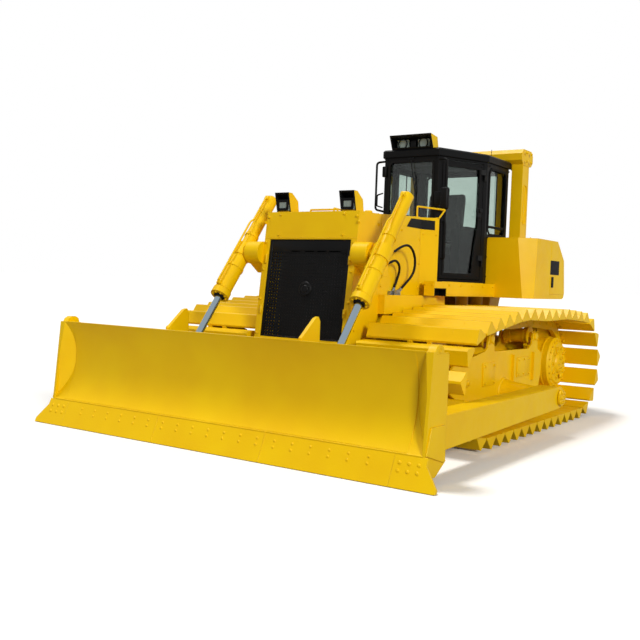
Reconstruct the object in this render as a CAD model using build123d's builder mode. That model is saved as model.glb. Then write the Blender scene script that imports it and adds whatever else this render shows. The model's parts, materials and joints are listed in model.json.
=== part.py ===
"""Crawler bulldozer, wide-track model with a straight tilt blade.

Frame: forward is -Y, the machine's left is +X, up is +Z. The ground is Z = 0 and the
origin lies under the middle of the overall length. All sizes are millimetres.
"""
from build123d import *
from math import acos, atan2, cos, degrees, hypot, pi, radians, sin, sqrt, tan
import os

# ---- clearances and fits -------------------------------------------------------------
SEAT = 0.3              # pieces that rest on each other, curved faces
RUN = 6.0               # moving pieces beside fixed ones
PIN_FIT = 0.5           # radial play of a pin in its bore

# ---- running gear --------------------------------------------------------------------
GAUGE = 2300.0          # between the track centres
SHOE_WIDTH = 1070.0
PITCH = 203.2
LINKS = 39              # links in one track
IDLER_LINKS = 12        # pitches round one whole idler
SPROCKET_LINKS = 13
LINK_HALF = 55.0        # half height of a chain link
LINK_ROW_X = 95.0       # centre of a row of links from the track centre
LINK_THICK = 44.0
SHOE_HALF = 94.0        # half length of a shoe's foot along the chain
SHOE_SKIRT = 16.0
SHOE_HEIGHT = 104.0
SHOE_CREST = 11.0       # half width of the crest
IDLER_R = PITCH / 2 / sin(pi / IDLER_LINKS)
SPROCKET_R = PITCH / 2 / sin(pi / SPROCKET_LINKS)
CHAIN_Z = LINK_HALF + SHOE_HEIGHT       # the pins' height on the ground run
IDLER_Z = CHAIN_Z + IDLER_R
SPROCKET_Z = CHAIN_Z + SPROCKET_R
SPROCKET_Y = 1711.0
TREAD_R = IDLER_R * cos(pi / IDLER_LINKS) - LINK_HALF - SEAT
TRACK_X = GAUGE / 2
SHOE_OUTER_X = TRACK_X + SHOE_WIDTH / 2

ROLLERS = 7
ROLLER_R = 92.0
ROLLER_FLANGE_R = 112.0
ROLLER_Z = CHAIN_Z + LINK_HALF + ROLLER_R + SEAT
ROLLER_FRONT = 430.0    # first roller behind the idler, last one ahead of the sprocket
ROLLER_REAR = 464.0
CARRIER_R = 84.0
CARRIER_DROP = 9.0      # room under the chain where it bends over a carrier
# (y, height over the sprocket's pin circle) of the upper run, from the rear carrier forward
UPPER_RUN = ((1064.0, 44.0), (480.0, 31.0), (-110.0, 54.0))
CARRIERS = (UPPER_RUN[2], UPPER_RUN[0])

BEAM_HALF = 172.0       # track frame beam, half width, between its guard plates
BEAM_BOTTOM = 440.0
BEAM_TOP = 720.0
GUARD_PLATE = 22.0
AXLE_R = 42.0
HUB_R = 282.0           # final drive cover
HUB_FACE_X = TRACK_X + 265.0
SPROCKET_THICK = 72.0
SPROCKET_TEETH = 2 * SPROCKET_LINKS
CASE_R = 265.0          # fixed final drive case
CASE_FACE_X = TRACK_X - SPROCKET_THICK / 2

# ---- main frame ----------------------------------------------------------------------
HULL_HALF = 340.0
HULL_FRONT_Y = -1180.0
HULL_BOTTOM = 420.0
HULL_TOP = 900.0
REAR_CASE_HALF = 440.0
REAR_CASE_Y = (1300.0, 2180.0)
REAR_CASE_Z = (390.0, 1150.0)
RAIL_X = (430.0, 590.0)
RAIL_Z = (1120.0, 1300.0)
RAIL_REAR_Y = 380.0
PIVOT_Y = 1080.0        # cross shaft that carries the track frames
PIVOT_R = 85.0
EQUALIZER_Y = -620.0
ENGINE_WIDTH = 600.0
ENGINE_LENGTH = 1060.0
ENGINE_HEIGHT = 800.0
ENGINE_Y = -230.0

# ---- blade ---------------------------------------------------------------------------
BLADE_HALF = 1945.0     # outer face of the side plates
BIT_REACH = 130.0       # of the end bits past the side plates
BLADE_WIDTH = 2 * (BLADE_HALF + BIT_REACH)
BLADE_HEIGHT = 945.0
BLADE_TIP_Y = -2700.0
GROUND_GAP = 4.0
SEAM_Z = 225.0          # top of the cutting edge
SEAM_BACK = 100.0       # how far the seam lies behind the tip
DEEP_BACK = 245.0       # deepest line of the mouldboard behind the tip
DEEP_Z = 575.0
TOP_BACK = 170.0
PLATE = 22.0            # mouldboard plate
EDGE_THICK = 32.0
END_BIT = 360.0
WING_IN = 140.0         # how far the canted end face reaches in
SIDE_PLATE = 26.0
SIDE_REAR_Y = -2285.0

# ---- push arms and lift cylinders ----------------------------------------------------
TRUNNION_Y = 235.0
TRUNNION_Z = 378.0
TRUNNION_R = 52.0
ARM_WIDTH = 200.0
ARM_INNER_X = BLADE_HALF - 30.0 - ARM_WIDTH
ARM_DEPTH = 206.0       # at the trunnion
ARM_FRONT_Z = (218.0, 472.0)
CYL_X = 778.0
CYL_TOP_Y, CYL_TOP_Z = -1300.0, 1660.0       # trunnion of the barrel
CYL_EYE_Y, CYL_EYE_Z = -2220.0, 480.0        # eye of the rod
BARREL_R = 82.0
BARREL_REAR_R = 62.0
BARREL_FRONT = 540.0    # from the trunnion towards the rod
BARREL_REAR = 735.0     # from the trunnion to the domed end
ROD_R = 33.0
EYE_R = 66.0
EYE_WIDTH = 80.0
EYE_PIN_R = 32.0
CLEVIS_GAP = 12.0       # beside the eye, each side
CLEVIS_THICK = 32.0

# ---- radiator guard, hood and cowl ---------------------------------------------------
HOOD_HALF = 520.0
GUARD_FRONT_TOP_Y = -1260.0
GUARD_FRONT_LOW_Y = -1415.0
GUARD_REAR_Y = -880.0
GUARD_BOTTOM = 820.0
GUARD_TOP = 2050.0
GUARD_WALL = 42.0
GRILLE_HALF = 458.0
GRILLE_Z = (870.0, 1790.0)
HOOD_REAR_Y = 470.0
HOOD_RISE = 60.0
HOOD_SKIN = 26.0
COWL_Y = -80.0
COWL_HALF = 600.0
GRAB_R = 12.0           # tube of the grab handles
FAN_R = 345.0
FAN_Z = 1330.0
FAN_Y = -1170.0

# ---- platform, cab, roll-over frame, tank ---------------------------------------------
PLATFORM_HALF = 720.0
PLATFORM_Z = (1300.0, 1445.0)
PLATFORM_FRONT_Y = -125.0
STEP_REAR_Y = 141.0
STEP_TOP = 1379.0
CAB_FRONT_Y = 620.0
CAB_FRONT_HALF = 335.0
CAB_BEND_Y = 1300.0
CAB_HALF = 605.0
CAB_REAR_Y = 1925.0
CAB_BASE = PLATFORM_Z[1]
CAB_EAVES = 2815.0
CAB_ROOF_TOP = 2900.0
CAB_WALL = 42.0
GLASS = 8.0
BOX_FRONT_Y = 1380.0
BOX_CORNERS = ((1295.0, 99.0, 100.0), (1975.0, 178.0, 148.0))   # height, then cut of the corner
BODY_HALF = 1150.0
TANK_FRONT_Y = 1990.0
TANK_REAR_Y = 2500.0
TANK_BOTTOM = 1295.0
TANK_TOP = 1975.0
TANK_SHELF_Y = 2200.0     # rear edge of the flat top, below the posts
ROPS_POST_X = (612.0, 750.0)
ROPS_POST_Y = (2000.0, 2196.0)
ROPS_BEAM_Y = (1955.0, 2310.0)
ROPS_TOP = 3060.0
ROPS_BEAM_DEPTH = 185.0
ROPS_GROOVE_Z = (2180.0, 2634.0)

# ---- wheels and arms, from the sizes above -------------------------------------------
IDLER_RIM = 46.0
IDLER_WEB = 30.0
TOOTH_TIP = SPROCKET_R + 22.0
TOOTH_ROOT = SPROCKET_R - 30.0
GUARD_LOW = ROLLER_Z - 52.0
ARM_OUTER_X = ARM_INNER_X + ARM_WIDTH

# ---- frame details -------------------------------------------------------------------
HULL_STEP_Y = GUARD_REAR_Y + 20.0
EQUALIZER_Z = (600.0, 735.0)
MOUNTS = ((300.0, 1420.0), (300.0, 1840.0))
OUTRIGGER_YS = (-760.0, -140.0, 300.0)
DRAWBAR_PIN_R = 24.0
DRAWBAR_Y = -BLADE_TIP_Y - 90.0
DRAWBAR_Z = 560.0

# ---- grille, fan, yokes, lamp boxes ---------------------------------------------------
GRILLE_FRAME = 26.0
GRILLE_THICK = 22.0
GRILLE_COLUMNS = 6
GRILLE_ROWS = 26
CORE_Y = (-1075.0, -950.0)
FAN_SHAFT_R = 22.0
FAN_HALF = 38.0
FAN_BLADES = 7
YOKE_R = 107.0
YOKE_END_X = CYL_X - BARREL_R - 14.0
CYL_PIN_R = 48.0
CYL_PIN_END_X = HOOD_HALF + 60.0
HOOD_LIP = 90.0
COWL_BEND_Y = 150.0
LAMP_X = (250.0, 480.0)
LAMP_Y = (-1255.0, -1040.0)
LAMP_TOP = 2235.0
LAMP_FLOOR = 16.0
LAMP_SIZE = (140.0, 40.0, 104.0)   # lens block across, deep, high

# ---- cab openings, hinges, roof lamps, seat -------------------------------------------
DOOR_GAP = 8.0
FRONT_POST = 58.0
REAR_POST = 52.0
DOOR_Z = (1478.0, 2785.0)
DOOR_RIM = 52.0
HINGE_OUT = 18.0
HINGE_R = 13.0
HINGE_PIN_R = 6.0
HINGE_LEN = 60.0
HINGE_ZS = (1640.0, 2600.0)
SCREEN_Z = (1560.0, 2765.0)
SIDE_WINDOW_Z = (2010.0, 2755.0)
REAR_WINDOW_Z = (1700.0, 2755.0)
REAR_WINDOW_HALF = 470.0
ROOF_LIP = 22.0
LOOP_Z = (2215.0, 2780.0)       # grab loops beside the windscreen
LOOP_OUT = 104.0
DOOR_SLANT = (70.0, 2120.0)     # lower rear corner of the door glass: cut, and its height
LIGHT_BAR_HALF = 255.0
LIGHT_BAR_Y = (560.0, 760.0)
LIGHT_BAR_TOP = 3050.0
LIGHT_BAR_WALL = 12.0
SEAT_Y = 1330.0
SEAT_TOP = 1890.0
SEAT_HEIGHT = 120.0     # thickness of the cushion
SEAT_RAKE = 0.14        # how far the back leans for each millimetre of height
CONSOLE_X = 340.0
CONSOLE_WIDTH = 110.0
CONSOLE_LENGTH = 480.0
DASH_HALF = 190.0
DASH_HEIGHT = 640.0

# ---- blade and cylinder details -------------------------------------------------------
BLADE_BACK_Y = -2385.0
LOWER_BOX = (60.0, 420.0)
UPPER_BOX = (700.0, 930.0)
RIB_XS = (240.0, 1120.0, 1600.0)
WING_SLOPE = 0.92       # how far the canted end comes forward for each millimetre outwards
ROD_TRAVEL_IN = 690.0

# ---- hoses: (x, y, z) corners of the left-hand runs, from the yoke's gland to the rail ---
HOSE_R = 12.0
HOSE_ARC = 0.45         # share of a straight run that an arc may take at each end
GLAND_R = 17.0
GLAND_LEN = 15.0
GLAND_Y = CYL_TOP_Y + 300.0
HOSES = {
    "outer": (
        (625.0, GLAND_Y + GLAND_LEN, 1690.0),
        (625.0, -830.0, 1690.0),
        (632.0, -676.0, 1762.0),
        (640.0, -528.0, 1788.0),
        (640.0, -402.0, 1682.0),
        (628.0, -388.0, 1518.0),
        (573.0, -494.0, 1392.0),
        (573.0, -589.0, 1337.0),
    ),
    "inner": (
        (600.0, GLAND_Y + GLAND_LEN, 1590.0),
        (600.0, -850.0, 1590.0),
        (600.0, -718.0, 1638.0),
        (588.0, -597.0, 1568.0),
        (536.0, -573.0, 1430.0),
        (536.0, -644.0, 1330.0),
    ),
}

os.makedirs("parts", exist_ok=True)


def keep(builder, label):
    """Label a finished sub-part and write it as one STEP file."""
    builder.part.label = label
    export_step(builder.part, f"parts/{label}.step")


def other_side(left, label):
    """The right-hand twin of a left-hand sub-part."""
    with BuildPart() as right:
        mirror(left.part, about=Plane.YZ)
    keep(right, label)


def keep_pair(left, label):
    """A left-hand sub-part and its right-hand twin, kept in one file."""
    with BuildPart() as pair:
        add(left.part)
        mirror(left.part, about=Plane.YZ)
    keep(pair, label)


def side_plane(x):
    """Sketch plane across the machine at x: local x runs to the rear, local y up."""
    return Plane.YZ.offset(x)


# =======================================================================================
# Tracks: link rows round sprocket, carriers and idler, one swamp shoe on every link
# =======================================================================================
def touch(centre, radius, spot, side):
    """Angle on a wheel, in degrees, where a straight run from the spot touches it."""
    run_y, run_z = spot[0] - centre[0], spot[1] - centre[1]
    return degrees(atan2(run_z, run_y) + side * acos(radius / hypot(run_y, run_z)))


def round_wheel(centre, radius, start, end):
    """Points every degree or so round a wheel's pin circle."""
    steps = round(end - start)
    angles = [radians(start + (end - start) * i / steps) for i in range(steps + 1)]
    return [(centre[0] + radius * cos(a), centre[1] + radius * sin(a)) for a in angles]


def pin_line(idler_y):
    """Closed line of the pins: up the sprocket, over the carriers, down the idler."""
    sprocket, idler = (SPROCKET_Y, SPROCKET_Z), (idler_y, IDLER_Z)
    upper = [(y, SPROCKET_Z + SPROCKET_R + rise) for y, rise in UPPER_RUN]
    return (
        round_wheel(sprocket, SPROCKET_R, -90, touch(sprocket, SPROCKET_R, upper[0], -1))
        + upper
        + round_wheel(idler, IDLER_R, touch(idler, IDLER_R, upper[-1], 1), 270)
        + [(SPROCKET_Y, CHAIN_Z)]
    )


def set_pins(line):
    """Pins set off along the line, each a pitch from the one before."""
    pins = [line[0]]
    for start, end in zip(line, line[1:]):
        run_y, run_z = end[0] - start[0], end[1] - start[1]
        while True:
            off_y, off_z = start[0] - pins[-1][0], start[1] - pins[-1][1]
            a = run_y**2 + run_z**2
            b = off_y * run_y + off_z * run_z
            c = off_y**2 + off_z**2 - PITCH**2
            along = (sqrt(max(b * b - a * c, 0.0)) - b) / a
            if along > 1:
                break
            pins.append((start[0] + along * run_y, start[1] + along * run_z))
    return pins


def links_needed(idler_y):
    """Length of the closed chain in pitches, for an idler at that place."""
    pins = set_pins(pin_line(idler_y))
    return len(pins) - 1 + hypot(SPROCKET_Y - pins[-1][0], CHAIN_Z - pins[-1][1]) / PITCH


def tension():
    """Idler place at which the chain of LINKS links closes, found by halving."""
    slack = SPROCKET_Y - UPPER_RUN[-1][0]
    near, far = UPPER_RUN[-1][0] - 0.2 * slack, UPPER_RUN[-1][0] - 1.2 * slack
    for i in range(60):
        middle = (near + far) / 2
        if links_needed(middle) > LINKS:
            far = middle
        else:
            near = middle
    return (near + far) / 2


IDLER_Y = tension()
PINS = set_pins(pin_line(IDLER_Y))[:LINKS]


def link_places():
    """(y, z, turn) of every link's middle, the turn taking local +y outwards."""
    places = []
    for (y1, z1), (y2, z2) in zip(PINS, PINS[1:] + PINS[:1]):
        places.append(((y1 + y2) / 2, (z1 + z2) / 2, degrees(atan2(z1 - z2, y1 - y2))))
    return places


SHOE_FOOT = LINK_HALF - 3.0     # the foot is let into the links by this little
SHOE_OUTLINE = [
    (-SHOE_HALF, SHOE_FOOT),
    (SHOE_HALF, SHOE_FOOT),
    (SHOE_HALF, LINK_HALF + SHOE_SKIRT),
    (SHOE_CREST, LINK_HALF + SHOE_HEIGHT),
    (-SHOE_CREST, LINK_HALF + SHOE_HEIGHT),
    (-SHOE_HALF, LINK_HALF + SHOE_SKIRT),
]

with BuildPart() as track_l:
    for row in (-1, 1):
        with BuildSketch(side_plane(TRACK_X + row * LINK_ROW_X - LINK_THICK / 2)):
            for y, z, turn in link_places():
                with Locations(Location((y, z, 0), (0, 0, turn))):
                    Rectangle(PITCH + 2.0, 2 * LINK_HALF)
        extrude(amount=LINK_THICK)
    with BuildSketch(side_plane(TRACK_X - SHOE_WIDTH / 2)):
        for y, z, turn in link_places():
            with Locations(Location((y, z, 0), (0, 0, turn))):
                Polygon(*SHOE_OUTLINE, align=None)
    extrude(amount=SHOE_WIDTH)
keep(track_l, "track_l")
other_side(track_l, "track_r")


# =======================================================================================
# Wheels inside the tracks
# =======================================================================================
def track_plane(offset):
    """Sketch plane across the machine, measured from the left track's centre."""
    return side_plane(TRACK_X + offset)


def roller_profile(tread_r, flange_r, axle_half):
    """Half section of a flanged roller about its axle, local x along the axle."""
    row = LINK_ROW_X + LINK_THICK / 2 + 3.0
    gap = LINK_ROW_X - LINK_THICK / 2 - 3.0
    return [
        (-axle_half, 0),
        (-axle_half, AXLE_R),
        (-row - 14, AXLE_R),
        (-row - 14, flange_r),
        (-row, flange_r),
        (-row, tread_r),
        (-gap, tread_r),
        (-gap, tread_r - 12),
        (gap, tread_r - 12),
        (gap, tread_r),
        (row, tread_r),
        (row, flange_r),
        (row + 14, flange_r),
        (row + 14, AXLE_R),
        (axle_half, AXLE_R),
        (axle_half, 0),
    ]


roller_first_y = IDLER_Y + ROLLER_FRONT
roller_step = (SPROCKET_Y - ROLLER_REAR - roller_first_y) / (ROLLERS - 1)
roller_ys = [roller_first_y + i * roller_step for i in range(ROLLERS)]


def carrier_z(rise):
    """Height of a carrier's axle under a chain that runs so far over the sprocket's top."""
    return SPROCKET_Z + SPROCKET_R + rise - LINK_HALF - CARRIER_R - CARRIER_DROP


with BuildPart() as track_rollers_l:
    for y in roller_ys:
        with BuildSketch(Plane(origin=(TRACK_X, y, ROLLER_Z), x_dir=(1, 0, 0), z_dir=(0, -1, 0))):
            Polygon(*roller_profile(ROLLER_R, ROLLER_FLANGE_R, BEAM_HALF - SEAT), align=None)
        revolve(axis=Axis((TRACK_X, y, ROLLER_Z), (1, 0, 0)))
    for y, rise in CARRIERS:
        hub = (TRACK_X, y, carrier_z(rise))
        with BuildSketch(Plane(origin=hub, x_dir=(1, 0, 0), z_dir=(0, -1, 0))):
            Polygon(*roller_profile(CARRIER_R, CARRIER_R + 16, BEAM_HALF - SEAT), align=None)
        revolve(axis=Axis(hub, (1, 0, 0)))
keep(track_rollers_l, "track_rollers_l")
other_side(track_rollers_l, "track_rollers_r")

with BuildPart() as idler_l:
    row_out = LINK_ROW_X + LINK_THICK / 2
    gap = LINK_ROW_X - LINK_THICK / 2 - 4.0
    with BuildSketch(Plane(origin=(TRACK_X, IDLER_Y, IDLER_Z), x_dir=(1, 0, 0), z_dir=(0, -1, 0))):
        Polygon(
            (-BEAM_HALF + SEAT, 0),
            (-BEAM_HALF + SEAT, AXLE_R),
            (-80, AXLE_R),
            (-80, 95),
            (-IDLER_WEB / 2, 95),
            (-IDLER_WEB / 2, TREAD_R - IDLER_RIM),
            (-row_out, TREAD_R - IDLER_RIM),
            (-row_out, TREAD_R),
            (-gap, TREAD_R),
            (-gap, TREAD_R + 34),
            (gap, TREAD_R + 34),
            (gap, TREAD_R),
            (row_out, TREAD_R),
            (row_out, TREAD_R - IDLER_RIM),
            (IDLER_WEB / 2, TREAD_R - IDLER_RIM),
            (IDLER_WEB / 2, 95),
            (80, 95),
            (80, AXLE_R),
            (BEAM_HALF - SEAT, AXLE_R),
            (BEAM_HALF - SEAT, 0),
            align=None,
        )
    revolve(axis=Axis((TRACK_X, IDLER_Y, IDLER_Z), (1, 0, 0)))
keep_pair(idler_l, "idlers")

with BuildPart() as sprocket_l:
    with BuildSketch(track_plane(-SPROCKET_THICK / 2)):
        with Locations((SPROCKET_Y, SPROCKET_Z)):
            Circle(TOOTH_ROOT)
            with PolarLocations(TOOTH_ROOT - 4, SPROCKET_TEETH,
                                start_angle=180.0 / SPROCKET_TEETH - 90):
                Polygon((0, -34), (0, 34), (TOOTH_TIP - TOOTH_ROOT + 4, 12),
                        (TOOTH_TIP - TOOTH_ROOT + 4, -12), align=None)
    extrude(amount=SPROCKET_THICK)
    hub_plane = Plane(origin=(0, SPROCKET_Y, SPROCKET_Z), x_dir=(1, 0, 0), z_dir=(0, -1, 0))
    face_x = TRACK_X + SPROCKET_THICK / 2
    with BuildSketch(hub_plane):
        Polygon(
            (face_x, 0),
            (face_x, HUB_R),
            (HUB_FACE_X - 70, HUB_R),
            (HUB_FACE_X - 48, HUB_R - 22),
            (HUB_FACE_X - 48, HUB_R - 40),
            (HUB_FACE_X - 30, HUB_R - 58),
            (HUB_FACE_X - 30, 118),
            (HUB_FACE_X - 12, 104),
            (HUB_FACE_X, 88),
            (HUB_FACE_X, 0),
            align=None,
        )
    revolve(axis=Axis((0, SPROCKET_Y, SPROCKET_Z), (1, 0, 0)))
keep_pair(sprocket_l, "sprockets")


# =======================================================================================
# Track frames with their roller guards, idler yokes and push-arm trunnions
# =======================================================================================
BEAM_FRONT_Y = IDLER_Y + TREAD_R + 65.0
BEAM_REAR_Y = SPROCKET_Y - TOOTH_TIP - 30.0
CONE_START_X = TRACK_X + BEAM_HALF + GUARD_PLATE
CONE_END_X = ARM_INNER_X - RUN

with BuildPart() as track_frame_l:
    with BuildSketch(track_plane(-BEAM_HALF)):
        Polygon(
            (BEAM_FRONT_Y, BEAM_BOTTOM),
            (BEAM_REAR_Y, BEAM_BOTTOM),
            (BEAM_REAR_Y, BEAM_TOP),
            (BEAM_FRONT_Y, BEAM_TOP),
            align=None,
        )
    extrude(amount=2 * BEAM_HALF)
    # guard plates down both sides, carrying the axles of rollers, carriers and idler
    for x in (-BEAM_HALF - GUARD_PLATE, BEAM_HALF):
        with BuildSketch(track_plane(x)):
            Polygon(
                (IDLER_Y - 90, IDLER_Z - 60),
                (BEAM_FRONT_Y + 20, GUARD_LOW),
                (BEAM_REAR_Y - 60, GUARD_LOW),
                (BEAM_REAR_Y + 20, BEAM_BOTTOM + 30),
                (BEAM_REAR_Y + 20, BEAM_TOP),
                (BEAM_REAR_Y - 120, BEAM_TOP + 55),
                (BEAM_FRONT_Y + 300, BEAM_TOP + 75),
                (IDLER_Y + 60, IDLER_Z + 150),
                (IDLER_Y - 90, IDLER_Z + 70),
                align=None,
            )
            for y, rise in CARRIERS:
                top = carrier_z(rise) + 40
                Polygon((y - 240, BEAM_TOP + 30), (y - 90, BEAM_TOP + 110), (y - 60, top),
                        (y + 52, top), (y + 84, BEAM_TOP + 30), align=None)
        extrude(amount=GUARD_PLATE)
    # trunnion that the push arm turns on
    trunnion_plane = Plane(origin=(0, TRUNNION_Y, TRUNNION_Z), x_dir=(1, 0, 0), z_dir=(0, -1, 0))
    with BuildSketch(trunnion_plane):
        Polygon(
            (CONE_START_X - 5, 0),
            (CONE_START_X - 5, 132),
            (CONE_START_X + 90, 112),
            (CONE_END_X, 80),
            (CONE_END_X, TRUNNION_R),
            (ARM_OUTER_X + RUN, TRUNNION_R),
            (ARM_OUTER_X + RUN, TRUNNION_R + 26),
            (ARM_OUTER_X + RUN + 20, TRUNNION_R + 26),
            (ARM_OUTER_X + RUN + 20, 0),
            align=None,
        )
    revolve(axis=Axis((0, TRUNNION_Y, TRUNNION_Z), (1, 0, 0)))
keep(track_frame_l, "track_frame_l")
other_side(track_frame_l, "track_frame_r")


# =======================================================================================
# Main frame, equalizer bar, engine
# =======================================================================================

with BuildPart() as main_frame:
    with BuildSketch(side_plane(-HULL_HALF)):
        Polygon(
            (HULL_FRONT_Y, EQUALIZER_Z[1]),
            (EQUALIZER_Y + 120, EQUALIZER_Z[1]),
            (EQUALIZER_Y + 240, HULL_BOTTOM),
            (REAR_CASE_Y[0] + 40, HULL_BOTTOM),
            (REAR_CASE_Y[0] + 40, HULL_TOP),
            (HULL_STEP_Y, HULL_TOP),
            (HULL_STEP_Y, GUARD_BOTTOM),
            (HULL_FRONT_Y, GUARD_BOTTOM),
            align=None,
        )
    extrude(amount=2 * HULL_HALF)
    with BuildSketch(side_plane(-REAR_CASE_HALF)):
        Polygon(
            (REAR_CASE_Y[0], REAR_CASE_Z[0] + 90),
            (REAR_CASE_Y[0] + 120, REAR_CASE_Z[0]),
            (REAR_CASE_Y[1] - 160, REAR_CASE_Z[0]),
            (REAR_CASE_Y[1], REAR_CASE_Z[0] + 150),
            (REAR_CASE_Y[1], REAR_CASE_Z[1]),
            (REAR_CASE_Y[0], REAR_CASE_Z[1]),
            align=None,
        )
    extrude(amount=2 * REAR_CASE_HALF)
    # final drive cases, one each side
    with BuildSketch(side_plane(-CASE_FACE_X)):
        with Locations((SPROCKET_Y, SPROCKET_Z)):
            Circle(CASE_R)
    extrude(amount=2 * CASE_FACE_X)
    # cross shaft that the track frames swing on
    with BuildSketch(side_plane(-TRACK_X + BEAM_HALF + GUARD_PLATE)):
        with Locations((PIVOT_Y, (BEAM_BOTTOM + BEAM_TOP) / 2)):
            Circle(PIVOT_R)
    extrude(amount=2 * (TRACK_X - BEAM_HALF - GUARD_PLATE))
    # upper rails on outriggers
    for side in (-1, 1):
        rail_mid = side * (RAIL_X[0] + RAIL_X[1]) / 2
        with BuildSketch(Plane.XY.offset(RAIL_Z[0])):
            with Locations((rail_mid, (GUARD_REAR_Y + RAIL_REAR_Y) / 2)):
                Rectangle(RAIL_X[1] - RAIL_X[0], RAIL_REAR_Y - GUARD_REAR_Y)
        extrude(amount=RAIL_Z[1] - RAIL_Z[0])
        for y in OUTRIGGER_YS:
            with BuildSketch(Plane.XZ.offset(-y - 45)):
                Polygon(
                    (side * (HULL_HALF - 10), HULL_TOP - 220),
                    (side * (RAIL_X[1] - 30), RAIL_Z[0] + 10),
                    (side * (RAIL_X[0] + 20), RAIL_Z[0] + 10),
                    (side * (HULL_HALF - 10), HULL_TOP - 20),
                    align=None,
                )
            extrude(amount=90)
        for x, y in MOUNTS:
            with BuildSketch(Plane.XY.offset(REAR_CASE_Z[1] - 5)):
                with Locations((side * x, y)):
                    Circle(75)
            extrude(amount=PLATFORM_Z[0] - REAR_CASE_Z[1] + 5)
    # bracket that carries the tank
    with BuildSketch(side_plane(-REAR_CASE_HALF + 40)):
        Polygon(
            (REAR_CASE_Y[1] - 200, REAR_CASE_Z[1] - 10),
            (REAR_CASE_Y[1], REAR_CASE_Z[1] - 200),
            (REAR_CASE_Y[1] + 150, TANK_BOTTOM),
            (REAR_CASE_Y[1] - 160, TANK_BOTTOM),
            align=None,
        )
    extrude(amount=2 * REAR_CASE_HALF - 80)
keep(main_frame, "main_frame")

with BuildPart() as equalizer_bar:
    bar_half = TRACK_X - BEAM_HALF - GUARD_PLATE
    with BuildSketch(Plane.XZ.offset(-EQUALIZER_Y - 50)):
        Polygon(
            (-bar_half, EQUALIZER_Z[0] + 30),
            (-320, EQUALIZER_Z[0]),
            (320, EQUALIZER_Z[0]),
            (bar_half, EQUALIZER_Z[0] + 30),
            (bar_half, EQUALIZER_Z[1] - 40),
            (320, EQUALIZER_Z[1]),
            (-320, EQUALIZER_Z[1]),
            (-bar_half, EQUALIZER_Z[1] - 40),
            align=None,
        )
    extrude(amount=100)
keep(equalizer_bar, "equalizer_bar")

with BuildPart() as engine_block:
    with BuildSketch(Plane.XY.offset(HULL_TOP)):
        with Locations((0, ENGINE_Y)):
            Rectangle(ENGINE_WIDTH, ENGINE_LENGTH)
    extrude(amount=ENGINE_HEIGHT)
keep(engine_block, "engine_block")

with BuildPart() as drawbar:
    for z in (DRAWBAR_Z - 62, DRAWBAR_Z + 32):
        with BuildSketch(Plane.XY.offset(z)):
            with Locations((0, (REAR_CASE_Y[1] + DRAWBAR_Y) / 2)):
                Rectangle(180, DRAWBAR_Y - REAR_CASE_Y[1])
            with Locations((0, DRAWBAR_Y)):
                Circle(90)
                Circle(DRAWBAR_PIN_R, mode=Mode.SUBTRACT)
        extrude(amount=30)
    with BuildSketch(Plane.XZ.offset(-REAR_CASE_Y[1] - 30)):
        with Locations((0, DRAWBAR_Z)):
            Rectangle(260, 180)
    extrude(amount=30)
keep(drawbar, "drawbar")


# =======================================================================================
# Radiator guard, grille, radiator core and fan
# =======================================================================================
guard_height = GUARD_TOP - GUARD_BOTTOM
guard_lean = (GUARD_FRONT_TOP_Y - GUARD_FRONT_LOW_Y) / hypot(guard_height,
                                                             GUARD_FRONT_TOP_Y - GUARD_FRONT_LOW_Y)
guard_rise = (1 - guard_lean**2) ** 0.5
FRONT_FACE = Plane(
    origin=(0, GUARD_FRONT_LOW_Y, GUARD_BOTTOM),
    x_dir=(1, 0, 0),
    z_dir=(0, -guard_rise, guard_lean),
)
grille_low = (GRILLE_Z[0] - GUARD_BOTTOM) / guard_rise
grille_high = (GRILLE_Z[1] - GUARD_BOTTOM) / guard_rise

with BuildPart() as radiator_guard:
    with BuildSketch(side_plane(-HOOD_HALF)):
        Polygon(
            (GUARD_FRONT_LOW_Y, GUARD_BOTTOM),
            (GUARD_REAR_Y, GUARD_BOTTOM),
            (GUARD_REAR_Y, GUARD_TOP),
            (GUARD_FRONT_TOP_Y, GUARD_TOP),
            align=None,
        )
    extrude(amount=2 * HOOD_HALF)
    with BuildSketch(side_plane(-HOOD_HALF + GUARD_WALL)):
        Polygon(
            (GUARD_FRONT_LOW_Y + GUARD_WALL + 6, GUARD_BOTTOM + GUARD_WALL),
            (GUARD_REAR_Y + 1, GUARD_BOTTOM + GUARD_WALL),
            (GUARD_REAR_Y + 1, GUARD_TOP - GUARD_WALL),
            (GUARD_FRONT_TOP_Y + GUARD_WALL, GUARD_TOP - GUARD_WALL),
            align=None,
        )
    extrude(amount=2 * (HOOD_HALF - GUARD_WALL), mode=Mode.SUBTRACT)
    with BuildSketch(FRONT_FACE):
        with Locations((0, (grille_low + grille_high) / 2)):
            Rectangle(2 * GRILLE_HALF, grille_high - grille_low)
    extrude(amount=-GUARD_WALL * 2, mode=Mode.SUBTRACT)
keep(radiator_guard, "radiator_guard")

with BuildPart() as grille:
    open_w = 2 * GRILLE_HALF
    open_h = grille_high - grille_low
    with BuildSketch(FRONT_FACE.offset(-GRILLE_THICK - 8)):
        with Locations((0, (grille_low + grille_high) / 2)):
            Rectangle(open_w, open_h)
            step_x = (open_w - 2 * GRILLE_FRAME) / GRILLE_COLUMNS
            step_y = (open_h - 2 * GRILLE_FRAME) / GRILLE_ROWS
            with GridLocations(step_x, step_y, GRILLE_COLUMNS, GRILLE_ROWS):
                Rectangle(step_x - 16, step_y - 14, mode=Mode.SUBTRACT)
    extrude(amount=GRILLE_THICK)
keep(grille, "grille")

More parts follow.
